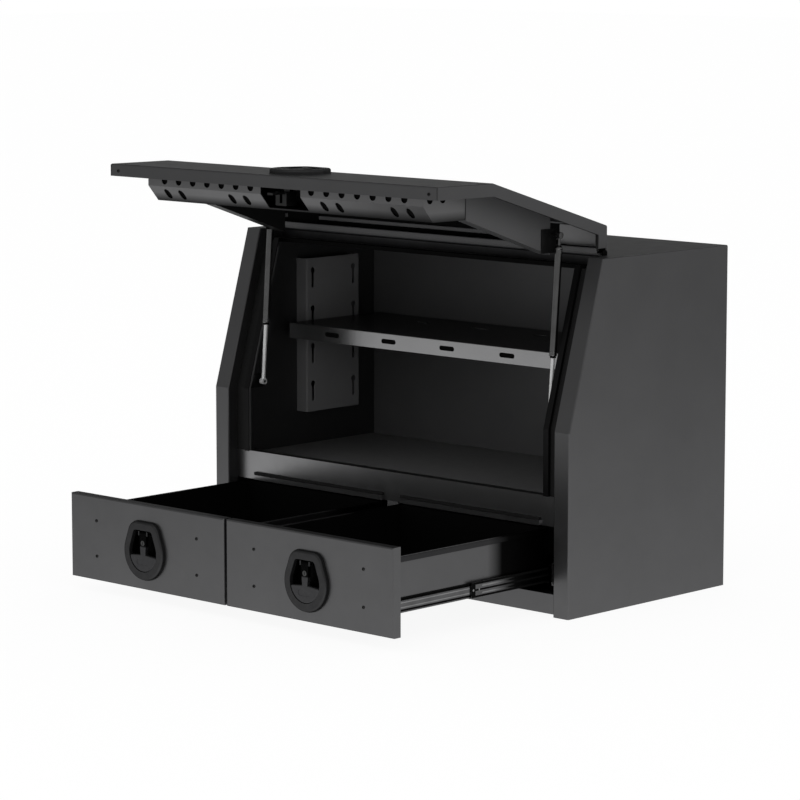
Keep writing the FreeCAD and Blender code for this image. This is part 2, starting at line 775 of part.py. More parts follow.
def off_tray(side, tray_side, distance):
    """The place at a distance outward from one side of a tray."""
    sign = "+" if tray_side == "tray_out" else "-"
    return signed(side, "({} {} ({}))".format(tray_side, sign, distance))


def slide_channel(side, tray_side, web_start, web_end, lips, bottom, top):
    """The C section of one slide member, measured outward from the tray's side."""
    start, end, lip = [off_tray(side, tray_side, place) for place in (web_start, web_end, lips)]
    return polygon((start, bottom), (start, top), (lip, top),
                   (lip, top + " - slide_sheet"), (end, top + " - slide_sheet"),
                   (end, bottom + " + slide_sheet"), (lip, bottom + " + slide_sheet"),
                   (lip, bottom))


def slide_rib(side, tray_side):
    """The section of an inner slide member: two flanges on the tray and a raised rib between them."""
    inset = "2 * (slide_sheet + slide_play)"
    bottom = "slide_bottom + " + inset
    top = "slide_bottom + slide_tall - " + inset
    rib_low = "slide_middle - slide_rib_tall / 2"
    rib_high = "slide_middle + slide_rib_tall / 2"
    tray, flange, under, rib = [off_tray(side, tray_side, place) for place in (
        "0", "slide_sheet", "slide_rib_out - slide_sheet", "slide_rib_out")]
    return polygon((tray, bottom), (flange, bottom), (flange, rib_low), (rib, rib_low),
                   (rib, rib_high), (flange, rib_high), (flange, top), (tray, top),
                   (tray, rib_high + " - slide_sheet"), (under, rib_high + " - slide_sheet"),
                   (under, rib_low + " + slide_sheet"), (tray, rib_low + " + slide_sheet"))


def slide_outer_members():
    """The four outer slide members, fixed to the mounts and to the divider."""
    piece = Piece("slide_outer_members")
    high = "slide_bottom + slide_tall"
    web = "slide_thick"
    sections = [slide_channel(side, tray_side, web, web + " - slide_sheet", "slide_thick / 4",
                              "slide_bottom", high)
                for side in ("left", "right") for tray_side in ("tray_in", "tray_out")]
    return piece.pad("XZ", "face_depth", "slide_back", *sections).place()


def slide_middle_members(side):
    """The two middle slide members of one drawer, which travel half as far."""
    inset = "(slide_sheet + slide_play)"
    piece = Piece("slide_middle_" + side)
    web = "slide_thick - slide_sheet - slide_play"
    sections = [slide_channel(side, tray_side, web, web + " - slide_sheet", "slide_thick / 5",
                              "slide_bottom + " + inset, "slide_bottom + slide_tall - " + inset)
                for tray_side in ("tray_in", "tray_out")]
    piece.pad("XZ", "face_depth + slide_play", "slide_back - slide_play", *sections)
    return piece.place_on("slide")


def slide_inner_members(side):
    """The two ribbed inner slide members of one drawer, fixed to the sides of its tray."""
    piece = Piece("drawer_{}_slides".format(side))
    sections = [slide_rib(side, tray_side) for tray_side in ("tray_in", "tray_out")]
    piece.pad("XZ", "face_depth + slide_play", "slide_back - slide_play", *sections)
    return piece.place_on("drawer")


# Hinge

def knuckle_spans(first):
    """The lengths of every second knuckle along the hinge, starting with first."""
    step = "(2 * lid_half / hinge_knuckles)"
    spans = []
    for index in range(first, int(value("hinge_knuckles")), 2):
        low = "-lid_half + {} * {} + hinge_play / 2".format(index, step)
        high = "-lid_half + {} * {} - hinge_play / 2".format(index + 1, step)
        spans.append((low, high))
    return spans


def hinge_leaf(label, first, leaf_low, leaf_high, carrier):
    """One leaf of the long hinge, with its knuckles round the pin."""
    piece = Piece(label)
    piece.pad("YZ", "-lid_half", "lid_half", rectangle(
        leaf_low, "hinge_height - hinge_barrel / 2 - hinge_leaf_tall", leaf_high, "hinge_height"))
    def round_pin(size):
        return circle("hinge_depth", "hinge_height", size)
    clear = round_pin("hinge_barrel + 2 * hinge_play")
    for low, high in knuckle_spans(1 - first):
        piece.pocket("YZ", low + " - hinge_play", high + " + hinge_play", clear)
    for low, high in knuckle_spans(first):
        piece.pad("YZ", low, high, round_pin("hinge_barrel"))
    piece.pocket("YZ", "-lid_half - 1", "lid_half + 1", round_pin("hinge_pin_size + 2 * pivot_play"))
    return piece.place_on(carrier)


def hinge_pin():
    return Piece("hinge_pin").pad("YZ", "-lid_half", "lid_half", circle(
        "hinge_depth", "hinge_height", "hinge_pin_size")).place()


# Lid

def lid_skin():
    """The outer sheet of the lid: one bend, a turned top and a deep folded edge."""
    block = hood_band("0", "lid_edge_depth", "lid_bottom", "lid_back")
    past_edge = "lid_edge_depth + 1"
    under_edge = "cabinet_height - lid_edge_depth - 1"
    hollow_back = "lid_back - sheet"
    hollow_low = "lid_bottom + sheet"
    hollow_top = "cabinet_height - sheet"
    hollow = polygon(("sheet", hollow_low), (past_edge, hollow_low), (past_edge, "bend_height"),
                     front_point(past_edge, under_edge), (hollow_back, under_edge),
                     (hollow_back, hollow_top), front_point("sheet", hollow_top), ("sheet", "bend_height"))
    piece = Piece("lid_skin")
    piece.pad("YZ", "-lid_half", "lid_half", block)

    def folded(spot):
        on_front = same(spot.y, value(front_point("0", str(spot.z))[0]))
        on_top = same(spot.z, value("cabinet_height")) and spot.y < value("lid_back") - 0.001
        on_bend = same(spot.z, value("bend_height")) and not same(abs(spot.x), value("lid_half"))
        return (on_front or on_top) and not on_bend
    piece.round_edges("edge_round", folded)
    piece.pocket("YZ", "-lid_half + sheet", "lid_half - sheet", hollow)
    piece.pocket("XZ", "-1", "sheet + 1", latch_hole("0", "lid_latch_height"))
    seams = []
    for side in ("left", "right"):
        near, far = outward(side, "lid_half - sheet - lid_slit", "lid_half - sheet")
        seams.append(rectangle(near, "sheet", far, past_edge))
        piece.pocket("YZ", *outward(side, "lid_half - sheet", "lid_half + 1"), rectangle(
            "lid_back - lid_end_gap", under_edge, "lid_back + 1", "cabinet_height - edge_round"))
    piece.pocket("XY", "lid_bottom - 1", "lid_bottom + sheet", *seams)
    return piece.place_on("lid")


def lid_rail():
    """The perforated cross rail inside the lid, which houses the latch bolt."""
    def profile(inset):
        low = "rail_low + " + inset
        high = "rail_high - " + inset
        deep = "rail_deep - " + inset
        slant_start = "rail_slant_start - {} / 2".format(inset)
        slant_end = "rail_low + rail_slant_rise + {} / 2".format(inset)
        return polygon(("sheet", low), (slant_start, low), (deep, slant_end), (deep, high), ("sheet", high))
    slant_top = "rail_low + rail_slant_rise + sheet"
    piece = Piece("lid_rail")
    piece.pad("YZ", "-rail_half", "rail_half", profile("0"))
    piece.pocket("YZ", "-rail_half + sheet", "rail_half - sheet", profile("sheet"))
    places = ["{} * (rail_hole_first + {} * rail_hole_pitch)".format(s, i) for s in (-1, 1) for i in range(7)]
    holes = [circle(x, "rail_hole_depth_place", "rail_hole") for x in places]
    piece.pocket("XY", "rail_low - 1", "rail_low + sheet + 1", *holes)
    heights = ["rail_low + rail_end_hole_first + {} * rail_end_hole_pitch".format(i) for i in (0, 1)]
    holes = [circle("rail_hole_depth_place", z, "rail_hole") for z in heights]
    piece.pocket("YZ", "-rail_half - 1", "rail_half + 1", *holes)
    middle = "(rail_slant_start + rail_deep) / 2"
    places = ["{} * ({} + {} * rail_oval_pitch)".format(s, first, i)
              for s in (-1, 1) for first in ("rail_oval_first", "rail_oval_second") for i in (0, 1)]
    ovals = [slot(x, middle, "rail_oval_wide", "rail_oval_long") for x in places]
    piece.pocket("XY", "rail_low - 1", slant_top, *ovals)
    piece.pocket("XY", "rail_low - 1", slant_top, rectangle(
        "-rail_window_half", "lid_edge_depth + sheet", "rail_window_half", "rail_deep - 2 * sheet"))
    piece.pocket("XZ", "0", "latch_body_deep + latch_body_fit", latch_hole("0", "lid_latch_height"))
    return piece.place_on("lid")


def lid_channel(side):
    """The stiffening channel along one side of the lid, which carries a strut."""
    piece = Piece("lid_channel_" + side)

    def profile(inset):
        low = "channel_low + " + inset
        top = "channel_top - " + inset
        return polygon(front_point("sheet", low), ("channel_deep_low - " + inset, low),
                       front_point("channel_deep_high - " + inset, top), front_point("sheet", top))
    piece.pad("YZ", *outward(side, "channel_inner", "channel_outer"), profile("0"))
    piece.pocket("YZ", *outward(side, "channel_inner + sheet", "channel_outer - sheet"), profile("sheet"))
    return piece.place_on("lid")


def lid_screws():
    """Screws through the lid's lower edge."""
    heads = [circle(signed(side, "lid_screw_place"), "lid_screw_depth", "face_screw_size")
             for side in ("left", "right")]
    piece = Piece("lid_screws")
    return piece.pad("XY", "lid_bottom - face_screw_tall", "lid_bottom", *heads).place_on("lid")


# Gas struts

def strut_foot_brackets():
    """Plates behind the gutters with the studs that the struts turn on."""
    piece = Piece("strut_foot_brackets")
    high = "foot_plate_low + foot_plate_tall"
    stud_end = "strut_place - strut_eye_wide / 2"
    for side in ("left", "right"):
        piece.pad("YZ", *outward(side, "foot_plate_place", "foot_plate_place + sheet"), polygon(
            front_point("seat_depth", "foot_plate_low"), ("foot_plate_back", "foot_plate_low"),
            ("foot_plate_back", high), front_point("seat_depth", high)))
        piece.pad("YZ", *outward(side, "foot_plate_place", "post_edge"), front_band(
            "seat_depth", "seat_depth + sheet", "foot_plate_low", high))
        piece.pad("YZ", *outward(side, stud_end, "foot_plate_place + sheet / 2"), circle(
            "strut_foot_depth", "strut_foot_height", "strut_stud_size"))
    return piece.place()


def strut_head_brackets():
    """Plates on the lid's channels, with the studs beside the heads of the struts."""
    piece = Piece("strut_head_brackets")
    margin = "head_plate_margin"
    stud_end = "strut_place - strut_eye_wide / 2 - strut_open_pivot_gap"
    for side in ("left", "right"):
        piece.pad("YZ", *outward(side, "channel_outer", "channel_outer + sheet"), rectangle(
            "strut_head_depth - " + margin, "head_plate_low",
            "strut_head_depth + head_plate_deep", "strut_head_height + " + margin))
        piece.pad("YZ", *outward(side, "channel_outer + sheet / 2", stud_end), circle(
            "strut_head_depth", "strut_head_height", "strut_stud_size"))
    return piece.place_on("lid")


def strut_rod(side):
    """The bright rod, with the eye that turns on the foot stud."""
    piece = Piece("strut_rod_" + side)
    eye = outward(side, "strut_place - strut_eye_wide / 2", "strut_place + strut_eye_wide / 2")
    piece.pad("YZ", *eye, circle("0", "0", "strut_eye_size"))
    piece.pad("XY", "eye_radius / 2", "rod_top", circle(signed(side, "strut_place"), "0", "strut_rod_size"))
    through = outward(side, "strut_place - strut_eye_wide", "strut_place + strut_eye_wide")
    piece.pocket("YZ", *through, circle("0", "0", "strut_stud_size + 2 * pivot_play"))
    return piece.place_on("strut")


def strut_tube(side):
    """The black tube that slides down over the rod, with the eye at its head."""
    piece = Piece("strut_tube_" + side)
    centre = signed(side, "strut_place")
    eye = outward(side, "strut_place - strut_eye_wide / 2", "strut_place + strut_eye_wide / 2")
    piece.pad("XY", "tube_bottom", "tube_top", circle(centre, "0", "strut_tube_size"))
    piece.round_edges("strut_rod_size / 4", lambda spot: True)
    piece.pad("YZ", *eye, circle("0", "strut_open_long", "strut_eye_size"))
    piece.pad("XY", "tube_top - strut_eye_gap", "strut_open_long - eye_radius / 2",
              circle(centre, "0", "strut_neck_size"))
    piece.pocket("XY", "tube_bottom - 1", "tube_top - strut_rod_size / 2", circle(
        centre, "0", "strut_rod_size + 2 * pivot_play"))
    return piece.place_on("strut")


# Latches: each has a dish, a folding handle, a lock cylinder and a bolt

def shield(centre_x, centre_z, inset):
    """The rounded outline of a latch, wide below and flatter on top, drawn in by inset."""
    low = "latch_low_radius - ({})".format(inset)
    top = "latch_top_radius - ({})".format(inset)
    rise = "({}) + latch_top_rise".format(centre_z)
    return belt((centre_x, "({}) - latch_low_drop".format(centre_z), low),
                ("({}) + latch_top_half".format(centre_x), rise, top),
                ("({}) - latch_top_half".format(centre_x), rise, top))


def latch_hole(centre_x, centre_z):
    """The cut-out in a panel that a latch's body passes through."""
    return shield(centre_x, centre_z, "latch_body_inset - latch_body_fit")


def latch_dish(label, centre_x, centre_z, carrier):
    """The moulded dish, with two ears that hold the handle's pivot."""
    piece = Piece(label)
    piece.pad("XZ", "-latch_proud", "0", shield(centre_x, centre_z, "0"))
    front = -value("latch_proud")
    piece.round_edges("latch_round", lambda spot: same(spot.y, front))
    piece.pad("XZ", "-1", "latch_body_deep", shield(centre_x, centre_z, "latch_body_inset"))
    piece.pocket("XZ", "-latch_proud - 1", "latch_body_deep - latch_recess_floor",
                 shield(centre_x, centre_z, "latch_recess_inset"))
    inner = "handle_stem / 2 + handle_ear_gap"
    rise = "({}) + handle_pivot_rise".format(centre_z)
    for sign in ("-", "+"):
        low = "({}) {} ({})".format(centre_x, sign, inner)
        high = "({}) {} ({} + handle_ear)".format(centre_x, sign, inner)
        span = (high, low) if sign == "-" else (low, high)
        piece.pad("YZ", *span, rectangle("-handle_pivot_depth - pivot_radius", rise + " - pivot_radius",
                                         "latch_body_deep - latch_recess_floor", rise + " + pivot_radius"))
    reach = inner + " + handle_ear + 1"
    piece.pocket("YZ", "({}) - ({})".format(centre_x, reach), "({}) + ({})".format(centre_x, reach), circle(
        "-handle_pivot_depth", rise, "handle_pin + 2 * pivot_play"))
    return piece.place_on(carrier)


def latch_handle(label, centre_x, centre_z, carrier):
    """A folding T handle: pivot barrel, tapered stem with the lock's bore, wide paddle."""
    rise = "({}) + handle_pivot_rise".format(centre_z)
    stem_low = "({}) - handle_stem / 2".format(centre_x)
    stem_high = "({}) + handle_stem / 2".format(centre_x)
    paddle_top = "({}) - handle_paddle_top".format(centre_z)
    paddle_radius = "latch_low_radius - latch_recess_inset - handle_fit"
    above = "({}) + latch_low_radius".format(centre_z)
    left = "({}) - latch_low_radius".format(centre_x)
    right = "({}) + latch_low_radius".format(centre_x)
    front = "-handle_front"
    back = "handle_thick - handle_front"
    piece = Piece(label)
    piece.pad("XZ", front, back, circle(centre_x, "({}) - latch_low_drop".format(centre_z),
                                        "2 * ({})".format(paddle_radius)))
    shoulder = paddle_top + " - handle_fall"
    piece.pocket("XZ", front + " - 1", back + " + 1", polygon(
        (left, shoulder), (centre_x, paddle_top), (right, shoulder), (right, above), (left, above)))
    corner = value(paddle_radius) - value("handle_fall")
    middle = value(centre_x)
    piece.round_edges("handle_corner", lambda spot: abs(spot.x - middle) > corner
                      and spot.z > value("({}) - latch_low_drop - 2 * handle_fall".format(centre_z)))
    face = value(front)
    piece.round_edges("handle_round", lambda spot: same(spot.y, face))
    piece.pad("XZ", front, back, polygon(
        ("({}) - handle_stem_low / 2".format(centre_x), shoulder),
        ("({}) + handle_stem_low / 2".format(centre_x), shoulder), (stem_high, rise), (stem_low, rise)))
    piece.pad("YZ", stem_low, stem_high, circle("-handle_pivot_depth", rise, "handle_barrel"))
    ear = "handle_ear_gap + handle_ear"
    piece.pad("YZ", "{} - ({})".format(stem_low, ear), "{} + {}".format(stem_high, ear), circle(
        "-handle_pivot_depth", rise, "handle_pin"))
    piece.pocket("XZ", front + " - 1", front + " + handle_oval_deep", slot(
        centre_x, "({}) - handle_oval_drop".format(centre_z), "handle_oval_long", "handle_oval_tall"))
    piece.pocket("XZ", front + " - 1", front + " + lock_long - lock_proud", circle(
        centre_x, "({}) + lock_rise".format(centre_z), "lock_size + 2 * pivot_play"))
    return piece.place_on(carrier)


def lock_cylinder(label, centre_x, centre_z, carrier):
    """The key cylinder in the handle's stem, with its key slot."""
    rise = "({}) + lock_rise".format(centre_z)
    front = "-handle_front - lock_proud"
    piece = Piece(label)
    piece.pad("XZ", front, front + " + lock_long", circle(centre_x, rise, "lock_size"))
    face = value(front)
    piece.round_edges("lock_proud / 2", lambda spot: same(spot.y, face))
    piece.pocket("XZ", front + " - 1", front + " + key_slot_deep", rectangle(
        "({}) - key_slot_wide / 2".format(centre_x), rise + " - key_slot_long / 2",
        "({}) + key_slot_wide / 2".format(centre_x), rise + " + key_slot_long / 2"))
    return piece.place_on(carrier)


def drawer_bolt(side):
    """The sliding bolt behind a drawer's face; its head hooks up behind the sill."""
    centre = signed(side, "face_middle")
    low = centre + " - bolt_half"
    high = centre + " + bolt_half"
    foot_low = "face_centre - bolt_foot_drop"
    piece = Piece("drawer_{}_latch_bolt".format(side))
    piece.pad("XZ", "bolt_place", "bolt_place + bolt_thick", rectangle(low, foot_low, high, "bolt_top"))
    piece.pad("XZ", "latch_body_deep + bolt_play", "bolt_place + 1", rectangle(
        low, foot_low, high, foot_low + " + bolt_foot_tall"))
    return piece.place_on("drawer")


def lid_bolt():
    """The lid's bolt: a tongue that drops through the sill, with a U-shaped claw in the rail's window."""
    front = "lid_bolt_place"
    behind = "lid_bolt_place + bolt_thick"
    claw_back = "lid_bolt_place + lid_claw_deep"
    claw_in = "lid_claw_slot / 2"
    claw_end = claw_back + " - lid_claw_wall"
    claw_low = "rail_low + sheet + bolt_play"
    claw = polygon(("-lid_claw_half", front), (signed("left", claw_in), front),
                   (signed("left", claw_in), claw_end), (claw_in, claw_end), (claw_in, front),
                   ("lid_claw_half", front), ("lid_claw_half", claw_back), ("-lid_claw_half", claw_back))
    piece = Piece("lid_latch_bolt")
    piece.pad("XY", "lid_bolt_tip", "lid_bolt_top", rectangle("-bolt_half", front, "bolt_half", behind))
    piece.pad("XY", claw_low, "lid_bolt_top", claw)
    piece.pad("XY", "lid_bolt_top - bolt_foot_tall", "lid_bolt_top", rectangle(
        "-bolt_half", "latch_body_deep + bolt_play", "bolt_half", behind))
    return piece.place_on("lid")


# Drawers

def drawer_face(side):
    """The pan-shaped front of a drawer, with a return fold behind and a hole for the latch."""
    centre = signed(side, "face_middle")

    def frame(inset):
        low, high = outward(side, "face_in + ({})".format(inset), "face_out - ({})".format(inset))
        return rectangle(low, "face_bottom + ({})".format(inset), high, "face_top - ({})".format(inset))
    piece = Piece("drawer_{}_face".format(side))
    piece.pad("XZ", "0", "face_depth", frame("0"))
    piece.round_edges("edge_round", lambda spot: same(spot.y, 0))
    piece.pocket("XZ", "sheet", "face_depth - sheet", frame("sheet"))
    piece.pocket("XZ", "face_depth - sheet - 1", "face_depth + 1", frame("face_return"))
    piece.pocket("XZ", "-1", "sheet + 1", latch_hole(centre, "drawer_latch_height"))
    return piece.place_on("drawer")


def drawer_tray(side):
    """The open tray behind a drawer's face, with a hem round its top edge."""
    low, high = outward(side, "tray_in", "tray_out")
    centre = signed(side, "face_middle")
    bottom = "tray_floor - tray_sheet"
    piece = Piece("drawer_{}_tray".format(side))
    piece.pad("XY", bottom, "tray_top", rectangle(low, "face_depth", high, "tray_back"))
    piece.pad("XY", "tray_top - hem_tall", "tray_top", rectangle(
        low + " - hem_thick", "face_depth", high + " + hem_thick", "tray_back + hem_thick"))
    piece.pocket("XY", "tray_floor", "tray_top + 1", rectangle(
        low + " + tray_sheet", "face_depth + tray_sheet", high + " - tray_sheet", "tray_back - tray_sheet"))
    foot_low = "face_centre - bolt_foot_drop - bolt_travel - bolt_play"
    foot_high = "face_centre - bolt_foot_drop + bolt_foot_tall + bolt_play"
    piece.pocket("XZ", "face_depth - 1", "face_depth + tray_sheet + 1", rectangle(
        centre + " - bolt_half - bolt_play", foot_low, centre + " + bolt_half + bolt_play", foot_high))
    return piece.place_on("drawer")


def face_screws(side):
    """Four screw heads on a drawer's face."""
    centre = signed(side, "face_middle")
    spots = [("{} + {} * face_screw_x".format(centre, i), "face_centre + {} * face_screw_z".format(j))
             for i in (-1, 1) for j in (-1, 1)]
    heads = [circle(x, z, "face_screw_size") for x, z in spots]
    piece = Piece("drawer_{}_screws".format(side))
    piece.pad("XZ", "-face_screw_tall", "0", *heads)
    front = -value("face_screw_tall")
    piece.round_edges("face_screw_tall / 2", lambda spot: same(spot.y, front))
    return piece.place_on("drawer")


def latch(prefix, centre_x, centre_z, carrier):
    return [latch_dish(prefix + "_latch_dish", centre_x, centre_z, carrier),
            latch_handle(prefix + "_latch_handle", centre_x, centre_z, carrier),
            lock_cylinder(prefix + "_lock_cylinder", centre_x, centre_z, carrier)]


def build():
    body_leaf = hinge_leaf("hinge_body_leaf", 0, "roof_front - hinge_leaf_thick", "roof_front", "cabinet")
    lid_leaf = hinge_leaf("hinge_lid_leaf", 1, "lid_back", "lid_back + hinge_leaf_thick", "lid")
    pieces = [back_panel(), roof_panel(), base_pan(), door_frame_top(), door_seal(), sill_rail(),
              striker_plates(), bottom_rail(), centre_divider(), compartment_floor(), drawer_seal(),
              shelf(), shelf_hooks(), slide_outer_members(), body_leaf, hinge_pin(), strut_foot_brackets()]
    pieces += [lid_leaf, lid_skin(), lid_rail(), lid_screws(), lid_bolt(), strut_head_brackets()]
    pieces += latch("lid", "0", "lid_latch_height", "lid")
    for side in ("left", "right"):
        pieces += [side_panel(side), door_frame_side(side), shelf_bracket(side), slide_mount(side)]
        pieces += [lid_channel(side), strut_rod(side), strut_tube(side)]
        pieces += [drawer_face(side), drawer_tray(side), face_screws(side), drawer_bolt(side)]
        pieces += [slide_inner_members(side), slide_middle_members(side)]
        pieces += latch("drawer_" + side, signed(side, "face_middle"), "drawer_latch_height", "drawer")
    return pieces


def write(pieces):
    """Check every object and piece, then write one file for each piece."""
    document.recompute()
    for thing in document.Objects:
        if "Invalid" in thing.State or "Error" in thing.State:
            raise ValueError("{} failed".format(thing.Label))
    for piece in pieces:
        shape = piece.body.Shape
        if shape.isNull() or not shape.isValid() or not shape.Solids:
            raise ValueError("{} has no sound shape".format(piece.body.Label))
    os.makedirs("parts", exist_ok=True)
    for piece in pieces:
        piece.body.Shape.exportStep("parts/{}.step".format(piece.body.Label))
        print(piece.body.Label, len(piece.body.Shape.Solids), "solids")


write(build())
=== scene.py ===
import bmesh
import bpy
import json
import math
from mathutils import Matrix, Vector

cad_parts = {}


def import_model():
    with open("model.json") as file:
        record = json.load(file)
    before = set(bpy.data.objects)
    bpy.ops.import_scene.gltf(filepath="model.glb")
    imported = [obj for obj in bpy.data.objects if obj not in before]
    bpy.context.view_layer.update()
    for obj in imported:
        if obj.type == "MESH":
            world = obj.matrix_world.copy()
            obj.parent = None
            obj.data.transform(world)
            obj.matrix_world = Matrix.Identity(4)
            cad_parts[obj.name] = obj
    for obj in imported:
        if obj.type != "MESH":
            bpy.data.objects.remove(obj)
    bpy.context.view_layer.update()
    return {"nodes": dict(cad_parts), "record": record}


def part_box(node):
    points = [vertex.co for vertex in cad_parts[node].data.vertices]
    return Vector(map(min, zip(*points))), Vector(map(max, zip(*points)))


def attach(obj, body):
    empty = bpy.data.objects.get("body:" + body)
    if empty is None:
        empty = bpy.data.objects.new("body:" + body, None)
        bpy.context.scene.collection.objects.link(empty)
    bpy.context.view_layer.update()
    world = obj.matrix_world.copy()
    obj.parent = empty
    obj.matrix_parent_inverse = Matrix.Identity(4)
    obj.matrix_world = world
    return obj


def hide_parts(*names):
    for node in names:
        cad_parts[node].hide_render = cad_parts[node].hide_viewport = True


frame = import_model()


# Places, drawn in millimetres in the shut cabinet, with y = 0 at its front

MM = 0.001
X, Y, Z = range(3)
SIDES = {"left": -1, "right": 1}
BEND_HEIGHT, SLOPE = 443, 0.2928

joints = {joint["name"]: joint for joint in frame["record"]["behaviour"]["joints"]}
side_low, side_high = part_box("side_panel_left")
roof_height = side_high[Z] / MM
cabinet_front = side_low[Y]
drawer_travel = joints["drawer_left_slide"]["range_m"][1]
drawer_front = cabinet_front - drawer_travel
lid_hinge = Matrix.Translation(joints["lid_hinge"]["pos_m"])
lid_turn = Matrix.Rotation(-math.radians(joints["lid_hinge"]["range_deg"][1]), 4, "X")

AT_CABINET = Matrix.Translation((0, cabinet_front, 0))
AT_DRAWER = Matrix.Translation((0, drawer_front, 0))
AT_SLIDE = Matrix.Translation((0, cabinet_front - drawer_travel / 2, 0))
AT_LID = lid_hinge @ lid_turn @ lid_hinge.inverted() @ AT_CABINET


def at_strut(name):
    """The foot of a strut, with z along the strut."""
    foot = Matrix.Translation(joints["strut_%s_swing" % name]["pos_m"])
    along = Vector(joints["strut_%s_stroke" % name]["axis"])
    return foot @ Vector((0, 0, 1)).rotation_difference(along).to_matrix().to_4x4()


def drawn_box(node, place):
    """A node's lowest and highest corners in the drawing that is put at that place."""
    return [place.inverted() @ Vector(spot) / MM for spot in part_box(node)]


# Materials

NOISE_SPAN = (0.3, 0.7)
# The near black that painted shade fades to.
SHADE_BLACK = (0.004, 0.004, 0.004, 1)


def map_range(tree, output, source, target):
    """A number moved from one span to another, and kept inside it."""
    made = tree.nodes.new("ShaderNodeMapRange")
    for index, number in enumerate((*source, *target), start=1):
        made.inputs[index].default_value = number
    tree.links.new(output, made.inputs[0])
    return made.outputs[0]


class Paint:
    """A material's nodes, with a Principled surface at the end.

    The edge is how bright the surface mirrors at a grazing angle.
    """

    def __init__(self, name, color, roughness, metallic, edge):
        self.material = bpy.data.materials.new(name)
        self.material.use_nodes = True
        self.tree = self.material.node_tree
        self.surface = self.tree.nodes["Principled BSDF"]
        self.surface.inputs["Base Color"].default_value = (*color, 1)
        self.surface.inputs["Roughness"].default_value = roughness
        self.surface.inputs["Metallic"].default_value = metallic
        self.surface.inputs["Specular Tint"].default_value = (edge, edge, edge, 1)
        self.place = self.tree.nodes.new("ShaderNodeTexCoord").outputs["Object"]
        self.color = color
        self.roughness = roughness

    def node(self, kind, **settings):
        made = self.tree.nodes.new("ShaderNode" + kind)
        for name, setting in settings.items():
            setattr(made, name, setting)
        return made

    def link(self, output, target):
        self.tree.links.new(output, target)

    def noise(self, scale, detail, rough=0.5, stretch=(1, 1, 1)):
        mapping = self.node("Mapping")
        mapping.inputs["Scale"].default_value = stretch
        self.link(self.place, mapping.inputs["Vector"])
        made = self.node("TexNoise")
        made.inputs["Scale"].default_value = scale
        made.inputs["Detail"].default_value = detail
        made.inputs["Roughness"].default_value = rough
        self.link(mapping.outputs["Vector"], made.inputs["Vector"])
        return made.outputs["Fac"]

    def tint(self, output, spread):
        """Vary the colour by a share either way."""
        ramp = self.node("ValToRGB")
        for element, position, share in zip(ramp.color_ramp.elements, NOISE_SPAN, (1 - spread, 1 + spread)):
            element.position = position
            element.color = (*[channel * share for channel in self.color], 1)
        self.link(output, ramp.inputs["Fac"])
        self.link(ramp.outputs["Color"], self.surface.inputs["Base Color"])

    def paint_shade(self, axis, clear, dark_at):
        """Painted shade: fade the tinted colour to near black between two places along an axis, in metres.
        """
        apart = self.node("SeparateXYZ")
        self.link(self.place, apart.inputs[0])
        blend = self.node("Mix", data_type="RGBA")
        blend.inputs["B"].default_value = SHADE_BLACK
        socket = self.surface.inputs["Base Color"]
        self.link(map_range(self.tree, apart.outputs[axis], (clear, dark_at), (0, 1)),
                  blend.inputs["Factor"])
        self.link(socket.links[0].from_socket, blend.inputs["A"])
        self.link(blend.outputs["Result"], socket)

    def vary_roughness(self, output, spread):
        span = (self.roughness - spread, self.roughness + spread)
        self.link(map_range(self.tree, output, NOISE_SPAN, span), self.surface.inputs["Roughness"])

    def bump(self, output, distance, strength):
        made = self.node("Bump")
        made.inputs["Strength"].default_value = strength
        made.inputs["Distance"].default_value = distance
        self.link(output, made.inputs["Height"])
        self.link(made.outputs["Normal"], self.surface.inputs["Normal"])


def powder_coat(name, color, roughness, metallic=0.92, edge=0.12, painted_shade=None):
    """Dark metallic powder coat: fine orange peel, faint drifts of tone and of gloss."""
    paint = Paint(name, color, roughness, metallic, edge)
    paint.tint(paint.noise(scale=9, detail=3), spread=0.03)
    # Painted shade, near black along an axis, where it is given.
    if painted_shade:
        paint.paint_shade(*painted_shade)
    paint.vary_roughness(paint.noise(scale=35, detail=4), spread=0.02)
    paint.bump(paint.noise(scale=420, detail=3, rough=0.6), distance=0.00010, strength=0.35)
    return paint.material


def plastic(name, color, roughness, painted_shade=None):
    """Moulded plastic with a fine spark-eroded grain."""
    paint = Paint(name, color, roughness, metallic=0.9, edge=0.08)
    paint.tint(paint.noise(scale=60, detail=3), spread=0.06)
    # Painted shade, near black along an axis, where it is given.
    if painted_shade:
        paint.paint_shade(*painted_shade)
    paint.vary_roughness(paint.noise(scale=180, detail=3), spread=0.05)
    paint.bump(paint.noise(scale=1500, detail=4, rough=0.7), distance=0.00008, strength=0.5)
    return paint.material


def drawn_steel(name, color, roughness, stretch=(1, 1, 1), metallic=1.0, painted_shade=None):
    """Zinc plated or drawn steel, with lines along its length where the noise is stretched."""
    paint = Paint(name, color, roughness, metallic, edge=0.6)
    lines = paint.noise(scale=60, detail=5, rough=0.65, stretch=stretch)
    paint.tint(paint.noise(scale=25, detail=4), spread=0.12)
    # Painted shade, near black along an axis, where it is given.
    if painted_shade:
        paint.paint_shade(*painted_shade)
    paint.vary_roughness(lines, spread=0.08)
    paint.bump(lines, distance=0.00005, strength=0.4)
    return paint.material


def rubber(name, color):
    """Matt black rubber with a fine grain."""
    paint = Paint(name, color, roughness=0.75, metallic=0.0, edge=0.5)
    paint.tint(paint.noise(scale=120, detail=3), spread=0.1)
    paint.vary_roughness(paint.noise(scale=300, detail=3), spread=0.05)
    paint.bump(paint.noise(scale=900, detail=3), distance=0.00006, strength=0.6)
    return paint.material


ALONG_X = (0.04, 1, 1)
ALONG_Y = (1, 0.04, 1)
ALONG_Z = (1, 1, 0.04)

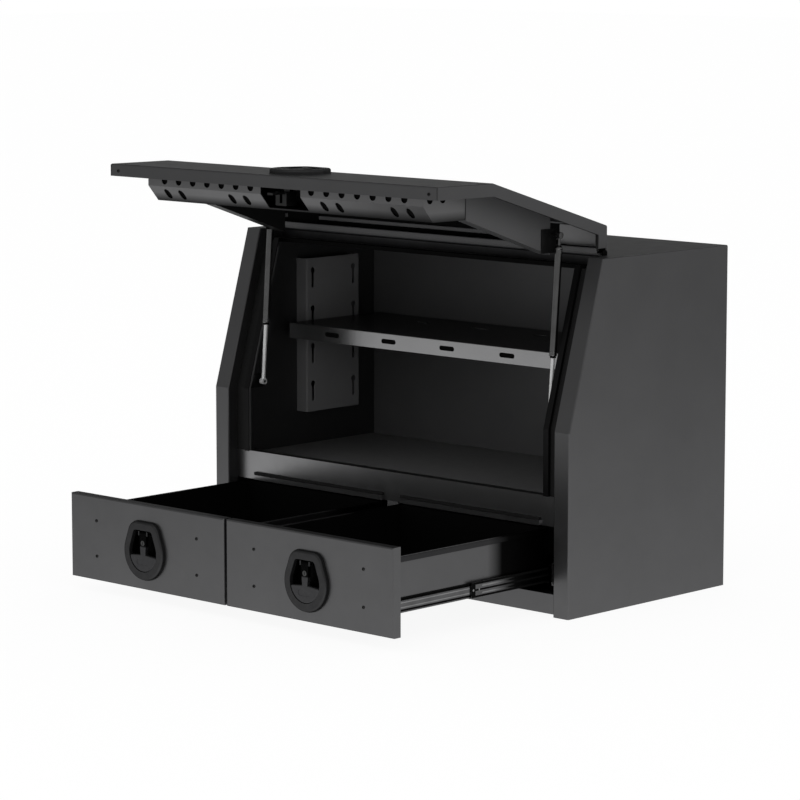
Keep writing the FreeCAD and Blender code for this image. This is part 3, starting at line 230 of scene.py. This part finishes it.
coat = powder_coat("outer_coat", (0.112, 0.112, 0.114), 0.36, edge=0.05)
inner = powder_coat("inner_coat", (0.1, 0.1, 0.102), 0.38, metallic=0.4)
floor_coat = powder_coat("floor_coat", (0.14, 0.14, 0.142), 0.42, metallic=0.2)
bracket_coat = powder_coat("bracket_coat", (0.15, 0.15, 0.152), 0.45, metallic=0.0)
# Lid rail: a lighter coat, with painted shade, near black below 0.945 m in the rest pose.
rail_coat = powder_coat("rail_coat", (0.19, 0.19, 0.192), 0.36, edge=0.05, painted_shade=(Z, 0.972, 0.945))
# Shelf and sill: lighter, glossier copies of the coat, a painted sheen for the light their front lips
# mirror.
shelf_coat = powder_coat("shelf_coat", (0.37, 0.37, 0.374), 0.24, metallic=0.95, edge=0.2)
sill_coat = powder_coat("sill_coat", (0.26, 0.26, 0.264), 0.3, metallic=1.0, edge=0.2)
# Door frame sides: a near-black copy of the coat, painted shade down the opening's sides.
frame_coat = powder_coat("frame_coat", (0.014, 0.014, 0.0142), 0.34, metallic=0.8)
# Lid corner plates: a lighter copy of the coat, a painted highlight on the right plate, and painted shade
# fading the left plate to near black.
plate_coat = powder_coat("plate_coat", (0.24, 0.24, 0.243), 0.45, metallic=0.9, painted_shade=(X, 0.2, 0.0))
# Left lid channel: a near-black copy of the coat, painted shade; the right one keeps the inner coat.
channel_dark = powder_coat("channel_dark", (0.02, 0.02, 0.0203), 0.38, metallic=0.6)
# Drawer trays: painted shadow of the cabinet, near black toward the tray's rear.
tray_coat = powder_coat("tray_coat", (0.106, 0.106, 0.108), 0.36, edge=0.05, painted_shade=(Y, -0.475, -0.425))
# Tray hem: a darker copy of the coat as painted shade, and painted shadow of the cabinet toward the rear.
rim_coat = powder_coat("rim_coat", (0.036, 0.036, 0.037), 0.34, edge=0.05, painted_shade=(Y, -0.475, -0.405))
# Near black: the own colour of small dark parts, and painted shade on sheets put where shade falls.
dark = powder_coat("dark_lining", (0.009, 0.009, 0.009), 0.7, metallic=0.9, edge=0.01)
black_steel = powder_coat("black_steel", (0.012, 0.012, 0.012), 0.3, metallic=0.5)

latch_plastic = plastic("latch_plastic", (0.05, 0.05, 0.051), 0.45)
# Drawer latch dish: painted shade, near black behind the drawer's face, in its recess.
drawer_dish = plastic("drawer_dish_plastic", (0.046, 0.046, 0.047), 0.45,
                      painted_shade=(Y, drawer_front - MM, drawer_front + MM))
handle_plastic = plastic("handle_plastic", (0.07, 0.07, 0.071), 0.42)
# Drawer latch handle: painted shade, near black above 0.14 m, inside the dish's cup.
drawer_handle = plastic("drawer_handle_plastic", (0.056, 0.056, 0.058), 0.42, painted_shade=(Z, 0.136, 0.14))
seal_rubber = rubber("seal_rubber", (0.006, 0.006, 0.006))

# Slides: painted shade, near black toward the cabinet's inside.
slide_zinc = drawn_steel("slide_zinc", (0.1, 0.1, 0.102), 0.35, ALONG_Y, painted_shade=(Y, -0.46, -0.39))
# A lighter copy of the slide zinc, a painted highlight on beads and rivets, with painted shade toward the
# cabinet.
slide_bright = drawn_steel("slide_bright", (0.2, 0.2, 0.202), 0.3, ALONG_Y, painted_shade=(Y, -0.47, -0.41))
rod_chrome = drawn_steel("rod_chrome", (0.75, 0.75, 0.75), 0.25, ALONG_Z, metallic=0.55)
strut_steel = drawn_steel("strut_steel", (0.17, 0.17, 0.17), 0.22, ALONG_Z)
hinge_steel = drawn_steel("hinge_steel", (0.05, 0.05, 0.052), 0.4, ALONG_X)
zinc = drawn_steel("zinc", (0.05, 0.05, 0.05), 0.35, ALONG_X)
lock_metal = drawn_steel("lock_metal", (0.06, 0.06, 0.06), 0.3)
screw_black = drawn_steel("screw_black", (0.03, 0.03, 0.03), 0.3)

BY_SLOT = {
    "powder_coat": coat,
    "tray_steel": tray_coat,
    "seal_rubber": seal_rubber,
    "zinc_screws": screw_black,
    "hinge_steel": hinge_steel,
    "slide_steel": slide_zinc,
    "rod_chrome": rod_chrome,
    "strut_black": strut_steel,
    "lock_metal": lock_metal,
    "latch_plastic": latch_plastic,
    "handle_plastic": handle_plastic,
    "zinc_steel": zinc,
}
BY_NODE = {
    "back_panel": inner,
    "centre_divider": inner,
    "lid_channel_right": inner,
    # The left channel carries painted shade.
    "lid_channel_left": channel_dark,
    "lid_rail": rail_coat,
    "compartment_floor": floor_coat,
    "shelf": shelf_coat,
    "shelf_bracket_left": bracket_coat,
    "shelf_bracket_right": bracket_coat,
    "sill_rail": sill_coat,
    "strut_head_brackets": black_steel,
    # The door frame's top and sides are painted shade.
    "door_frame_top": dark,
    "door_frame_left": frame_coat,
    "door_frame_right": frame_coat,
    "drawer_left_latch_dish": drawer_dish,
    "drawer_right_latch_dish": drawer_dish,
    "drawer_left_latch_handle": drawer_handle,
    "drawer_right_latch_handle": drawer_handle,
}


def dress_nodes():
    """Give each node its own material, or else its slot's."""
    for part in frame["record"]["subparts"]:
        node = part["node"]
        data = frame["nodes"][node].data
        data.materials.clear()
        data.materials.append(BY_NODE.get(node, BY_SLOT[part["material_slot"]]))


# Mesh tools

FINE, COARSE = 36, 24


def add_object(name, data):
    """An object with that data, in the scene."""
    made = bpy.data.objects.new(name, data)
    bpy.context.scene.collection.objects.link(made)
    return made


def corner(mesh, axis, along, u, v):
    """A vertex at a place along an axis and at two places across it."""
    spot = [u * MM, v * MM]
    spot.insert(axis, along * MM)
    return mesh.verts.new(spot)


def bar(mesh, axis, start, end, outline):
    """A straight bar along an axis, with that outline across it."""
    first, last = [[corner(mesh, axis, along, u, v) for u, v in outline] for along in (start, end)]
    mesh.faces.new(first)
    mesh.faces.new(last)
    for index in range(len(outline)):
        mesh.faces.new((first[index - 1], first[index], last[index], last[index - 1]))


def block(mesh, low, high):
    """A block between its lowest and highest corners."""
    outline = ((low[Y], low[Z]), (high[Y], low[Z]), (high[Y], high[Z]), (low[Y], high[Z]))
    bar(mesh, X, low[X], high[X], outline)


def side_bar(mesh, side, across, outline):
    """A bar along X between two places on the right, or its mirror image on the left."""
    near, far = sorted(side * place for place in across)
    bar(mesh, X, near, far, outline)


def side_block(mesh, side, low, high):
    """A block on the right, or its mirror image on the left."""
    near, far = sorted((side * low[X], side * high[X]))
    block(mesh, (near, *low[Y:]), (far, *high[Y:]))


def strips(mesh, side, across, along, bands):
    """Flat strips along a slide, one for each pair of heights."""
    for low, high in bands:
        side_block(mesh, side, (across[0], along[0], low), (across[1], along[1], high))


def turned(mesh, axis, centre, profile, sides=FINE):
    """A turned form: each row of the profile is a radius, a place along the axis and any flats."""
    across = [index for index in range(3) if index != axis]
    rings = []
    for radius, along, *flats in profile:
        ring = []
        for step in range(sides):
            turn = 2 * math.pi * step / sides
            reach = radius
            if flats:
                share = 2 * math.pi / flats[0]
                reach *= math.cos(share / 2) / math.cos(turn % share - share / 2)
            ring.append(corner(mesh, axis, centre[axis] + along,
                               centre[across[0]] + reach * math.cos(turn),
                               centre[across[1]] + reach * math.sin(turn)))
        rings.append(ring)
    mesh.faces.new(rings[0])
    mesh.faces.new(rings[-1])
    for near, far in zip(rings, rings[1:]):
        for index in range(sides):
            mesh.faces.new((near[index - 1], near[index], far[index], far[index - 1]))


def screw_head(mesh, axis, centre):
    """A round head with a six-sided socket, which points to the front or down."""
    radius, tall = 4, -2
    turned(mesh, axis, centre, [
        (radius, 0), (radius, tall * 0.4), (radius * 0.86, tall * 0.85), (radius * 0.6, tall),
        (radius * 0.5, tall, 6), (radius * 0.46, tall * 0.2, 6)])


def finish_piece(mesh, name, place, body, material, rounding=0.0, smooth=False):
    """Turn the drawn mesh into a piece that rides on a body."""
    bmesh.ops.recalc_face_normals(mesh, faces=mesh.faces)
    data = bpy.data.meshes.new(name)
    mesh.to_mesh(data)
    mesh.free()
    data.transform(place)
    data.materials.append(material)
    made = add_object(name, data)
    if rounding:
        bevel = made.modifiers.new("edges", "BEVEL")
        bevel.width = rounding * MM
        bevel.segments = 3
        bevel.limit_method = "ANGLE"
        made.modifiers.new("normals", "WEIGHTED_NORMAL")
    if rounding or smooth:
        data.shade_smooth()
    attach(made, body)
    return made


# Drawers

def tray_painted_shade(name):
    """A near-black sheet on the floor and the walls of a drawer's tray, painted shade inside the tray."""
    wall, front_gap, rim, thick = 4.2, 21, 2, 0.8
    low, high = drawn_box("drawer_%s_tray" % name, AT_DRAWER)
    left, right = low.x + wall, high.x - wall
    front, back = low.y + front_gap, high.y - wall
    bottom, top = low.z + wall, high.z - rim
    mesh = bmesh.new()
    block(mesh, (left, front, bottom), (right, back, bottom + thick))
    block(mesh, (left, front, bottom), (left + thick, back, top))
    block(mesh, (right - thick, front, bottom), (right, back, top))
    block(mesh, (left, back - thick, bottom), (right, back, top))
    block(mesh, (left, front, bottom), (right, front + thick, top))
    finish_piece(mesh, "drawer_%s_liner" % name, AT_DRAWER, "drawer_" + name, dark, 0.3)


def tray_rim(name):
    """The rolled hem outside the top edge of a drawer's tray, in a darker coat as painted shade."""
    thick, end_gap, tall, drop = 2, 2, 12.6, 1.4
    low, high = drawn_box("drawer_%s_tray" % name, AT_DRAWER)
    front, back = low.y + end_gap, high.y - end_gap
    bottom, top = high.z - drop - tall, high.z - drop
    mesh = bmesh.new()
    block(mesh, (high.x, front, bottom), (high.x + thick, back, top))
    block(mesh, (low.x - thick, front, bottom), (low.x, back, top))
    finish_piece(mesh, "drawer_%s_rim" % name, AT_DRAWER, "drawer_" + name, rim_coat, 0.8)


def slide_details(name, side):
    """Painted highlights and painted shade along the slides: beads and rivets in a lighter copy of the
    zinc, flanges and grooves in near black; and the middle member's ball retainer.
    """
    body = "drawer_" + name
    along = (26, 292)
    flanges, flange_heights = (507.3, 508.4), ((78.8, 84.8), (105.2, 111.2))
    beads, bead_heights = (513.3, 513.9), ((88, 91), (99, 102))
    mesh = bmesh.new()
    strips(mesh, side, flanges, along, flange_heights)
    finish_piece(mesh, body + "_slide_flanges", AT_DRAWER, body, dark, 0.3)
    mesh = bmesh.new()
    strips(mesh, side, beads, along, bead_heights)
    finish_piece(mesh, body + "_slide_beads", AT_DRAWER, body, slide_bright, 0.25)

    body = "slide_middle_" + name
    front, retainer_back, beads_front, back = 24.4, 37, 60, 296
    bottom, top = 77, 113
    grooves, groove_heights = (516.4, 517.42), ((bottom, 82), (92.5, 97), (107.5, top))
    beads, bead_heights = (516.4, 517.4), ((84.5, 88), (101, 105))
    retainer = (514.2, 517.44)
    rivet_seat, rivet_depths = 517.1, ((30, 5.5), (50, 3.5))
    mesh = bmesh.new()
    strips(mesh, side, grooves, (retainer_back - 1, back), groove_heights)
    side_block(mesh, side, (retainer[0], front, bottom), (retainer[1], retainer_back, top))
    finish_piece(mesh, body + "_grooves", AT_SLIDE, body, dark, 0.2)
    mesh = bmesh.new()
    strips(mesh, side, beads, (beads_front, back), bead_heights)
    for depth, radius in rivet_depths:
        rivet = [(radius, 0), (radius * 0.9, side * 0.25), (radius * 0.4, side * 0.36)]
        turned(mesh, X, (side * rivet_seat, depth, (bottom + top) / 2), rivet, COARSE)
    finish_piece(mesh, body + "_beads", AT_SLIDE, body, slide_bright, 0.2)


def latch_gasket(name):
    """The thin dark gasket under the rim of a drawer's latch, drawn round three circles."""
    sides, width = 60, 8
    back, front = -0.05, -2.4
    circles = ((0, -3, 69.6), (24, 41, 31.6), (-24, 41, 31.6))
    low, high = drawn_box("drawer_%s_latch_dish" % name, AT_DRAWER)
    middle = (low + high) / 2
    mesh = bmesh.new()
    rings = []
    for narrower, along in ((0, back), (0, front), (width, front), (width, back)):
        ring = []
        for index in range(sides):
            turn = 2 * math.pi * index / sides
            way_x, way_z = math.sin(turn), -math.cos(turn)
            x, z, radius = max(circles, key=lambda c: way_x * c[0] + way_z * c[1] + c[2])
            reach = radius - narrower
            ring.append(corner(mesh, Y, along, middle.x + x + reach * way_x, middle.z + z + reach * way_z))
        rings.append(ring)
    for number, near in enumerate(rings):
        far = rings[number - 1]
        for index in range(sides):
            mesh.faces.new((near[index - 1], near[index], far[index], far[index - 1]))
    finish_piece(mesh, "drawer_%s_latch_gasket" % name, AT_DRAWER, "drawer_" + name,
                 seal_rubber)


def face_screws(name):
    """The four screws in a drawer's face."""
    reach_x, reach_z = 178, 44
    low, high = drawn_box("drawer_%s_face" % name, AT_DRAWER)
    middle = (low + high) / 2
    mesh = bmesh.new()
    for x in (middle.x - reach_x, middle.x + reach_x):
        for z in (middle.z - reach_z, middle.z + reach_z):
            screw_head(mesh, Y, (x, 0, z))
    made = finish_piece(mesh, "drawer_%s_screw_heads" % name, AT_DRAWER, "drawer_" + name,
                        screw_black)
    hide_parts("drawer_%s_screws" % name)


# Lid, cabinet and struts

def front_line(depth, bottom, top):
    """The bent line of the cabinet's front, that far behind its face, up from bottom to top."""
    return [(depth, bottom), (depth, BEND_HEIGHT), (depth + SLOPE * (top - BEND_HEIGHT), top)]


def lid_inside_pieces():
    """The near-black sheet inside the lid's top, painted shade, with its bar, its corner plates, the right
    one with a painted highlight and the left one in painted shade, and the hemmed rear lip.
    """
    front, under_pad = 123, 842.8
    pad_half, pad_back, pad_top = 545.5, 183, 843.8
    bar_left, bar_right, bar_front, bar_back, bar_bottom = -540, 400, 152, 162, 839
    plate_near, plate_far, plate_back, plate_bottom = 406, 519, 171, 838.5
    lip_half = 541
    hem = ((183.8, 816), (183.8, 819), (176, 821), (172, 820.5), (170.5, 818), (172, 816))
    mesh = bmesh.new()
    block(mesh, (-pad_half, front, under_pad), (pad_half, pad_back, pad_top))
    finish_piece(mesh, "lid_top_pad", AT_LID, "lid", dark, 0.3)
    mesh = bmesh.new()
    block(mesh, (bar_left, bar_front, bar_bottom), (bar_right, bar_back, under_pad))
    finish_piece(mesh, "lid_top_bar", AT_LID, "lid", inner, 1.8)
    mesh = bmesh.new()
    for side in SIDES.values():
        side_block(mesh, side, (plate_near, front, plate_bottom), (plate_far, plate_back, under_pad))
    finish_piece(mesh, "lid_corner_plates", AT_LID, "lid", plate_coat, 0.8)
    mesh = bmesh.new()
    bar(mesh, X, -lip_half, lip_half, hem)
    finish_piece(mesh, "lid_rear_lip", AT_LID, "lid", inner, 1)


def lid_edge_strip():
    """A black strip inside the folded edges of the lid's sides."""
    near, far, bottom, back, depths = 538.5, 545.9, 262, 178, (26.5, 29.6)
    outer_line, inner_line = [
        front_line(depth, bottom, roof_height - depth) + [(back, roof_height - depth)]
        for depth in depths]
    mesh = bmesh.new()
    for side in SIDES.values():
        side_bar(mesh, side, (near, far), outer_line + inner_line[::-1])
    finish_piece(mesh, "lid_edge_seal", AT_LID, "lid", seal_rubber)


def frame_edges():
    """The thin bright fold along the opening's edges, down both sides."""
    near, far, bottom, header, depths = 500, 501, 283, 44, (24.05, 30)
    front, back = [front_line(depth, bottom, roof_height - header) for depth in depths]
    mesh = bmesh.new()
    for side in SIDES.values():
        side_bar(mesh, side, (near, far), front + back[::-1])
    finish_piece(mesh, "door_frame_edges", AT_CABINET, "cabinet", inner)


def rail_hole_painted_shade():
    """Near-black sheets inside the lid's rail, behind its holes, and one across each end: painted shade
    seen through the holes.
    """
    start, end, thick = 69, 455, 1
    sheet = ((4, 304), (50, 304), (85, 335.5), (85, 336.5), (49.5, 305), (4, 305))
    closing = ((6, 306), (49, 306), (82, 337.5), (82, 436), (6, 436))
    mesh = bmesh.new()
    for side in SIDES.values():
        side_bar(mesh, side, (start, end), sheet)
        side_bar(mesh, side, (end, end + thick), closing)
    finish_piece(mesh, "lid_rail_backing", AT_LID, "lid", dark)


def shelf_backing():
    """Near-black sheets under the shelf and inside both its lips, behind its slots: painted shade seen
    through the slots.
    """
    half, front, back, bottom, top, thick = 553, 231, 556, 560, 589.4, 0.8
    mesh = bmesh.new()
    block(mesh, (-half, front, top - thick), (half, back, top))
    block(mesh, (-half, front, bottom), (half, front + thick, top - thick))
    block(mesh, (-half, back - thick, bottom), (half, back, top - thick))
    finish_piece(mesh, "shelf_backing", AT_CABINET, "cabinet", dark)


def lid_screws():
    """The screws in the lid's lower edge."""
    reach_x, depth, edge_height = 520, 17, 255
    mesh = bmesh.new()
    for side in SIDES.values():
        screw_head(mesh, Z, (side * reach_x, depth, edge_height))
    made = finish_piece(mesh, "lid_screw_heads", AT_LID, "lid", screw_black)
    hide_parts("lid_screws")


def hinge_caps():
    """Dark caps on the ends of the hinge."""
    hinge_end, depth, height = 548.5, 182, 851
    radius, rounded, straight, tall = 8.5, 1.5, 3, 4
    mesh = bmesh.new()
    for side in SIDES.values():
        cap = [(radius, 0), (radius, side * straight), (radius - rounded, side * tall)]
        turned(mesh, X, (side * hinge_end, depth, height), cap, COARSE)
    finish_piece(mesh, "hinge_caps", AT_CABINET, "cabinet", dark, smooth=True)


def strut_fittings(name):
    """The crimped ends of a strut's tube, and the wiper at its mouth."""
    foot = (0, 0, 0)
    crimp = [(5.6, 149.4), (8.2, 149.6), (9.5, 151), (9.5, 154), (8.9, 155.5), (8.9, 157), (9.3, 158.5),
             (9.15, 160)]
    neck = [(9.15, 402), (9.15, 405), (8.2, 408.5), (6.4, 411), (4.6, 412.5)]
    wiper = [(5.2, 145), (6.6, 145.4), (7.2, 147), (7.2, 149.4)]
    body = "strut_tube_" + name
    mesh = bmesh.new()
    turned(mesh, Z, foot, crimp)
    turned(mesh, Z, foot, neck)
    finish_piece(mesh, "strut_tube_ends_" + name, at_strut(name), body, strut_steel,
                 smooth=True)
    mesh = bmesh.new()
    turned(mesh, Z, foot, wiper)
    finish_piece(mesh, "strut_wiper_" + name, at_strut(name), body, dark, smooth=True)


dress_nodes()
for side_name, side_sign in SIDES.items():
    tray_painted_shade(side_name)
    tray_rim(side_name)
    slide_details(side_name, side_sign)
    latch_gasket(side_name)
    face_screws(side_name)
    strut_fittings(side_name)
lid_inside_pieces()
lid_screws()
lid_edge_strip()
rail_hole_painted_shade()
frame_edges()
shelf_backing()
hinge_caps()


# Studio, in metres

FLOOR_REACH = 40
FLOOR_COLOR, FLOOR_ROUGHNESS, FLOOR_GLOW = (0.95, 0.95, 0.95, 1), 0.9, 0.92
FLOOR_DISTANCES, FLOOR_MIRRORED = (1.0, 7.0), (1.0, 0.35)
BACKDROP = (-0.3, 0.7, -0.65)
BACKDROP_SHARES, BACKDROP_MIRRORED = (-0.3, 0.5), (0.4, 1.0)
LIGHT_AIM, LIGHT_SIZE = (0, 0, 0.5), 4
CAMERA_PLACE = (5.691356, -6.252201, 1.633491)
CAMERA_AZIMUTH, CAMERA_ELEVATION = math.radians(43.424), math.radians(8.069)
CAMERA_LENS, CAMERA_SENSOR, CAMERA_SHIFT = 152.48, 36, 0.0007


def by_glossy_ray(tree, plain, mirrored):
    """The plain shader, but the other one where a surface mirrors it."""
    chosen = tree.nodes.new("ShaderNodeMixShader")
    path = tree.nodes.new("ShaderNodeLightPath")
    tree.links.new(path.outputs["Is Glossy Ray"], chosen.inputs["Fac"])
    tree.links.new(plain.outputs[0], chosen.inputs[1])
    tree.links.new(mirrored.outputs[0], chosen.inputs[2])
    return chosen.outputs[0]


def measure(tree, operation, coordinates):
    """A vector node that measures those texture coordinates."""
    made = tree.nodes.new("ShaderNodeVectorMath")
    made.operation = operation
    place = tree.nodes.new("ShaderNodeTexCoord")
    tree.links.new(place.outputs[coordinates], made.inputs[0])
    return made


def floor_material():
    """White, lifted by a glow, and mirrored a little darker the farther it lies from the object."""
    material = bpy.data.materials.new("studio_floor")
    material.use_nodes = True
    tree = material.node_tree
    surface = tree.nodes["Principled BSDF"]
    surface.inputs["Base Color"].default_value = FLOOR_COLOR
    surface.inputs["Roughness"].default_value = FLOOR_ROUGHNESS
    glow = tree.nodes.new("ShaderNodeEmission")
    lifted = tree.nodes.new("ShaderNodeMixShader")
    lifted.inputs["Fac"].default_value = FLOOR_GLOW
    tree.links.new(surface.outputs[0], lifted.inputs[1])
    tree.links.new(glow.outputs[0], lifted.inputs[2])
    distance = measure(tree, "LENGTH", "Object")
    mirror = tree.nodes.new("ShaderNodeEmission")
    tree.links.new(map_range(tree, distance.outputs["Value"], FLOOR_DISTANCES, FLOOR_MIRRORED),
                   mirror.inputs["Strength"])
    tree.links.new(by_glossy_ray(tree, lifted, mirror), tree.nodes["Material Output"].inputs["Surface"])
    return material


def floor():
    """A wide square floor under the object."""
    reach = FLOOR_REACH
    mesh = bpy.data.meshes.new("studio_floor")
    corners = [(-reach, -reach, 0), (reach, -reach, 0), (reach, reach, 0), (-reach, reach, 0)]
    mesh.from_pydata(corners, [], [(0, 1, 2, 3)])
    mesh.materials.append(floor_material())
    add_object("studio_floor", mesh)


def world():
    """A white studio, whose backdrop mirrors brighter than what lies in front and overhead."""
    made = bpy.data.worlds.new("studio")
    bpy.context.scene.world = made
    made.use_nodes = True
    tree = made.node_tree
    plain = tree.nodes["Background"]
    plain.inputs["Color"].default_value = (1, 1, 1, 1)
    plain.inputs["Strength"].default_value = 1.0
    graded = tree.nodes.new("ShaderNodeBackground")
    toward = measure(tree, "DOT_PRODUCT", "Generated")
    toward.inputs[1].default_value = BACKDROP
    tree.links.new(map_range(tree, toward.outputs["Value"], BACKDROP_SHARES, BACKDROP_MIRRORED),
                   graded.inputs["Strength"])
    tree.links.new(by_glossy_ray(tree, plain, graded), tree.nodes["World Output"].inputs["Surface"])


def aim(made, direction):
    """Turn a light or the camera to look that way."""
    made.rotation_mode = "QUATERNION"
    made.rotation_quaternion = direction.to_track_quat("-Z", "Y")


def area_light(name, place, power):
    """A large square light, aimed at the object."""
    light = bpy.data.lights.new(name, "AREA")
    light.size = LIGHT_SIZE
    light.energy = power
    made = add_object(name, light)
    made.location = place
    aim(made, Vector(LIGHT_AIM) - Vector(place))


def camera():
    """The camera at the photograph's viewing angle."""
    data = bpy.data.cameras.new("photo_camera")
    data.sensor_width = CAMERA_SENSOR
    data.lens = CAMERA_LENS
    data.shift_x = CAMERA_SHIFT
    made = add_object("photo_camera", data)
    made.location = CAMERA_PLACE
    level = math.cos(CAMERA_ELEVATION)
    aim(made, Vector((-math.sin(CAMERA_AZIMUTH) * level, math.cos(CAMERA_AZIMUTH) * level,
                      -math.sin(CAMERA_ELEVATION))))
    bpy.context.scene.camera = made


floor()
world()
area_light("key_light", (1, -3.5, 6), 30)
area_light("side_light", (5.5, -2, 4), 20)
camera()
bpy.context.scene.view_settings.view_transform = "Standard"
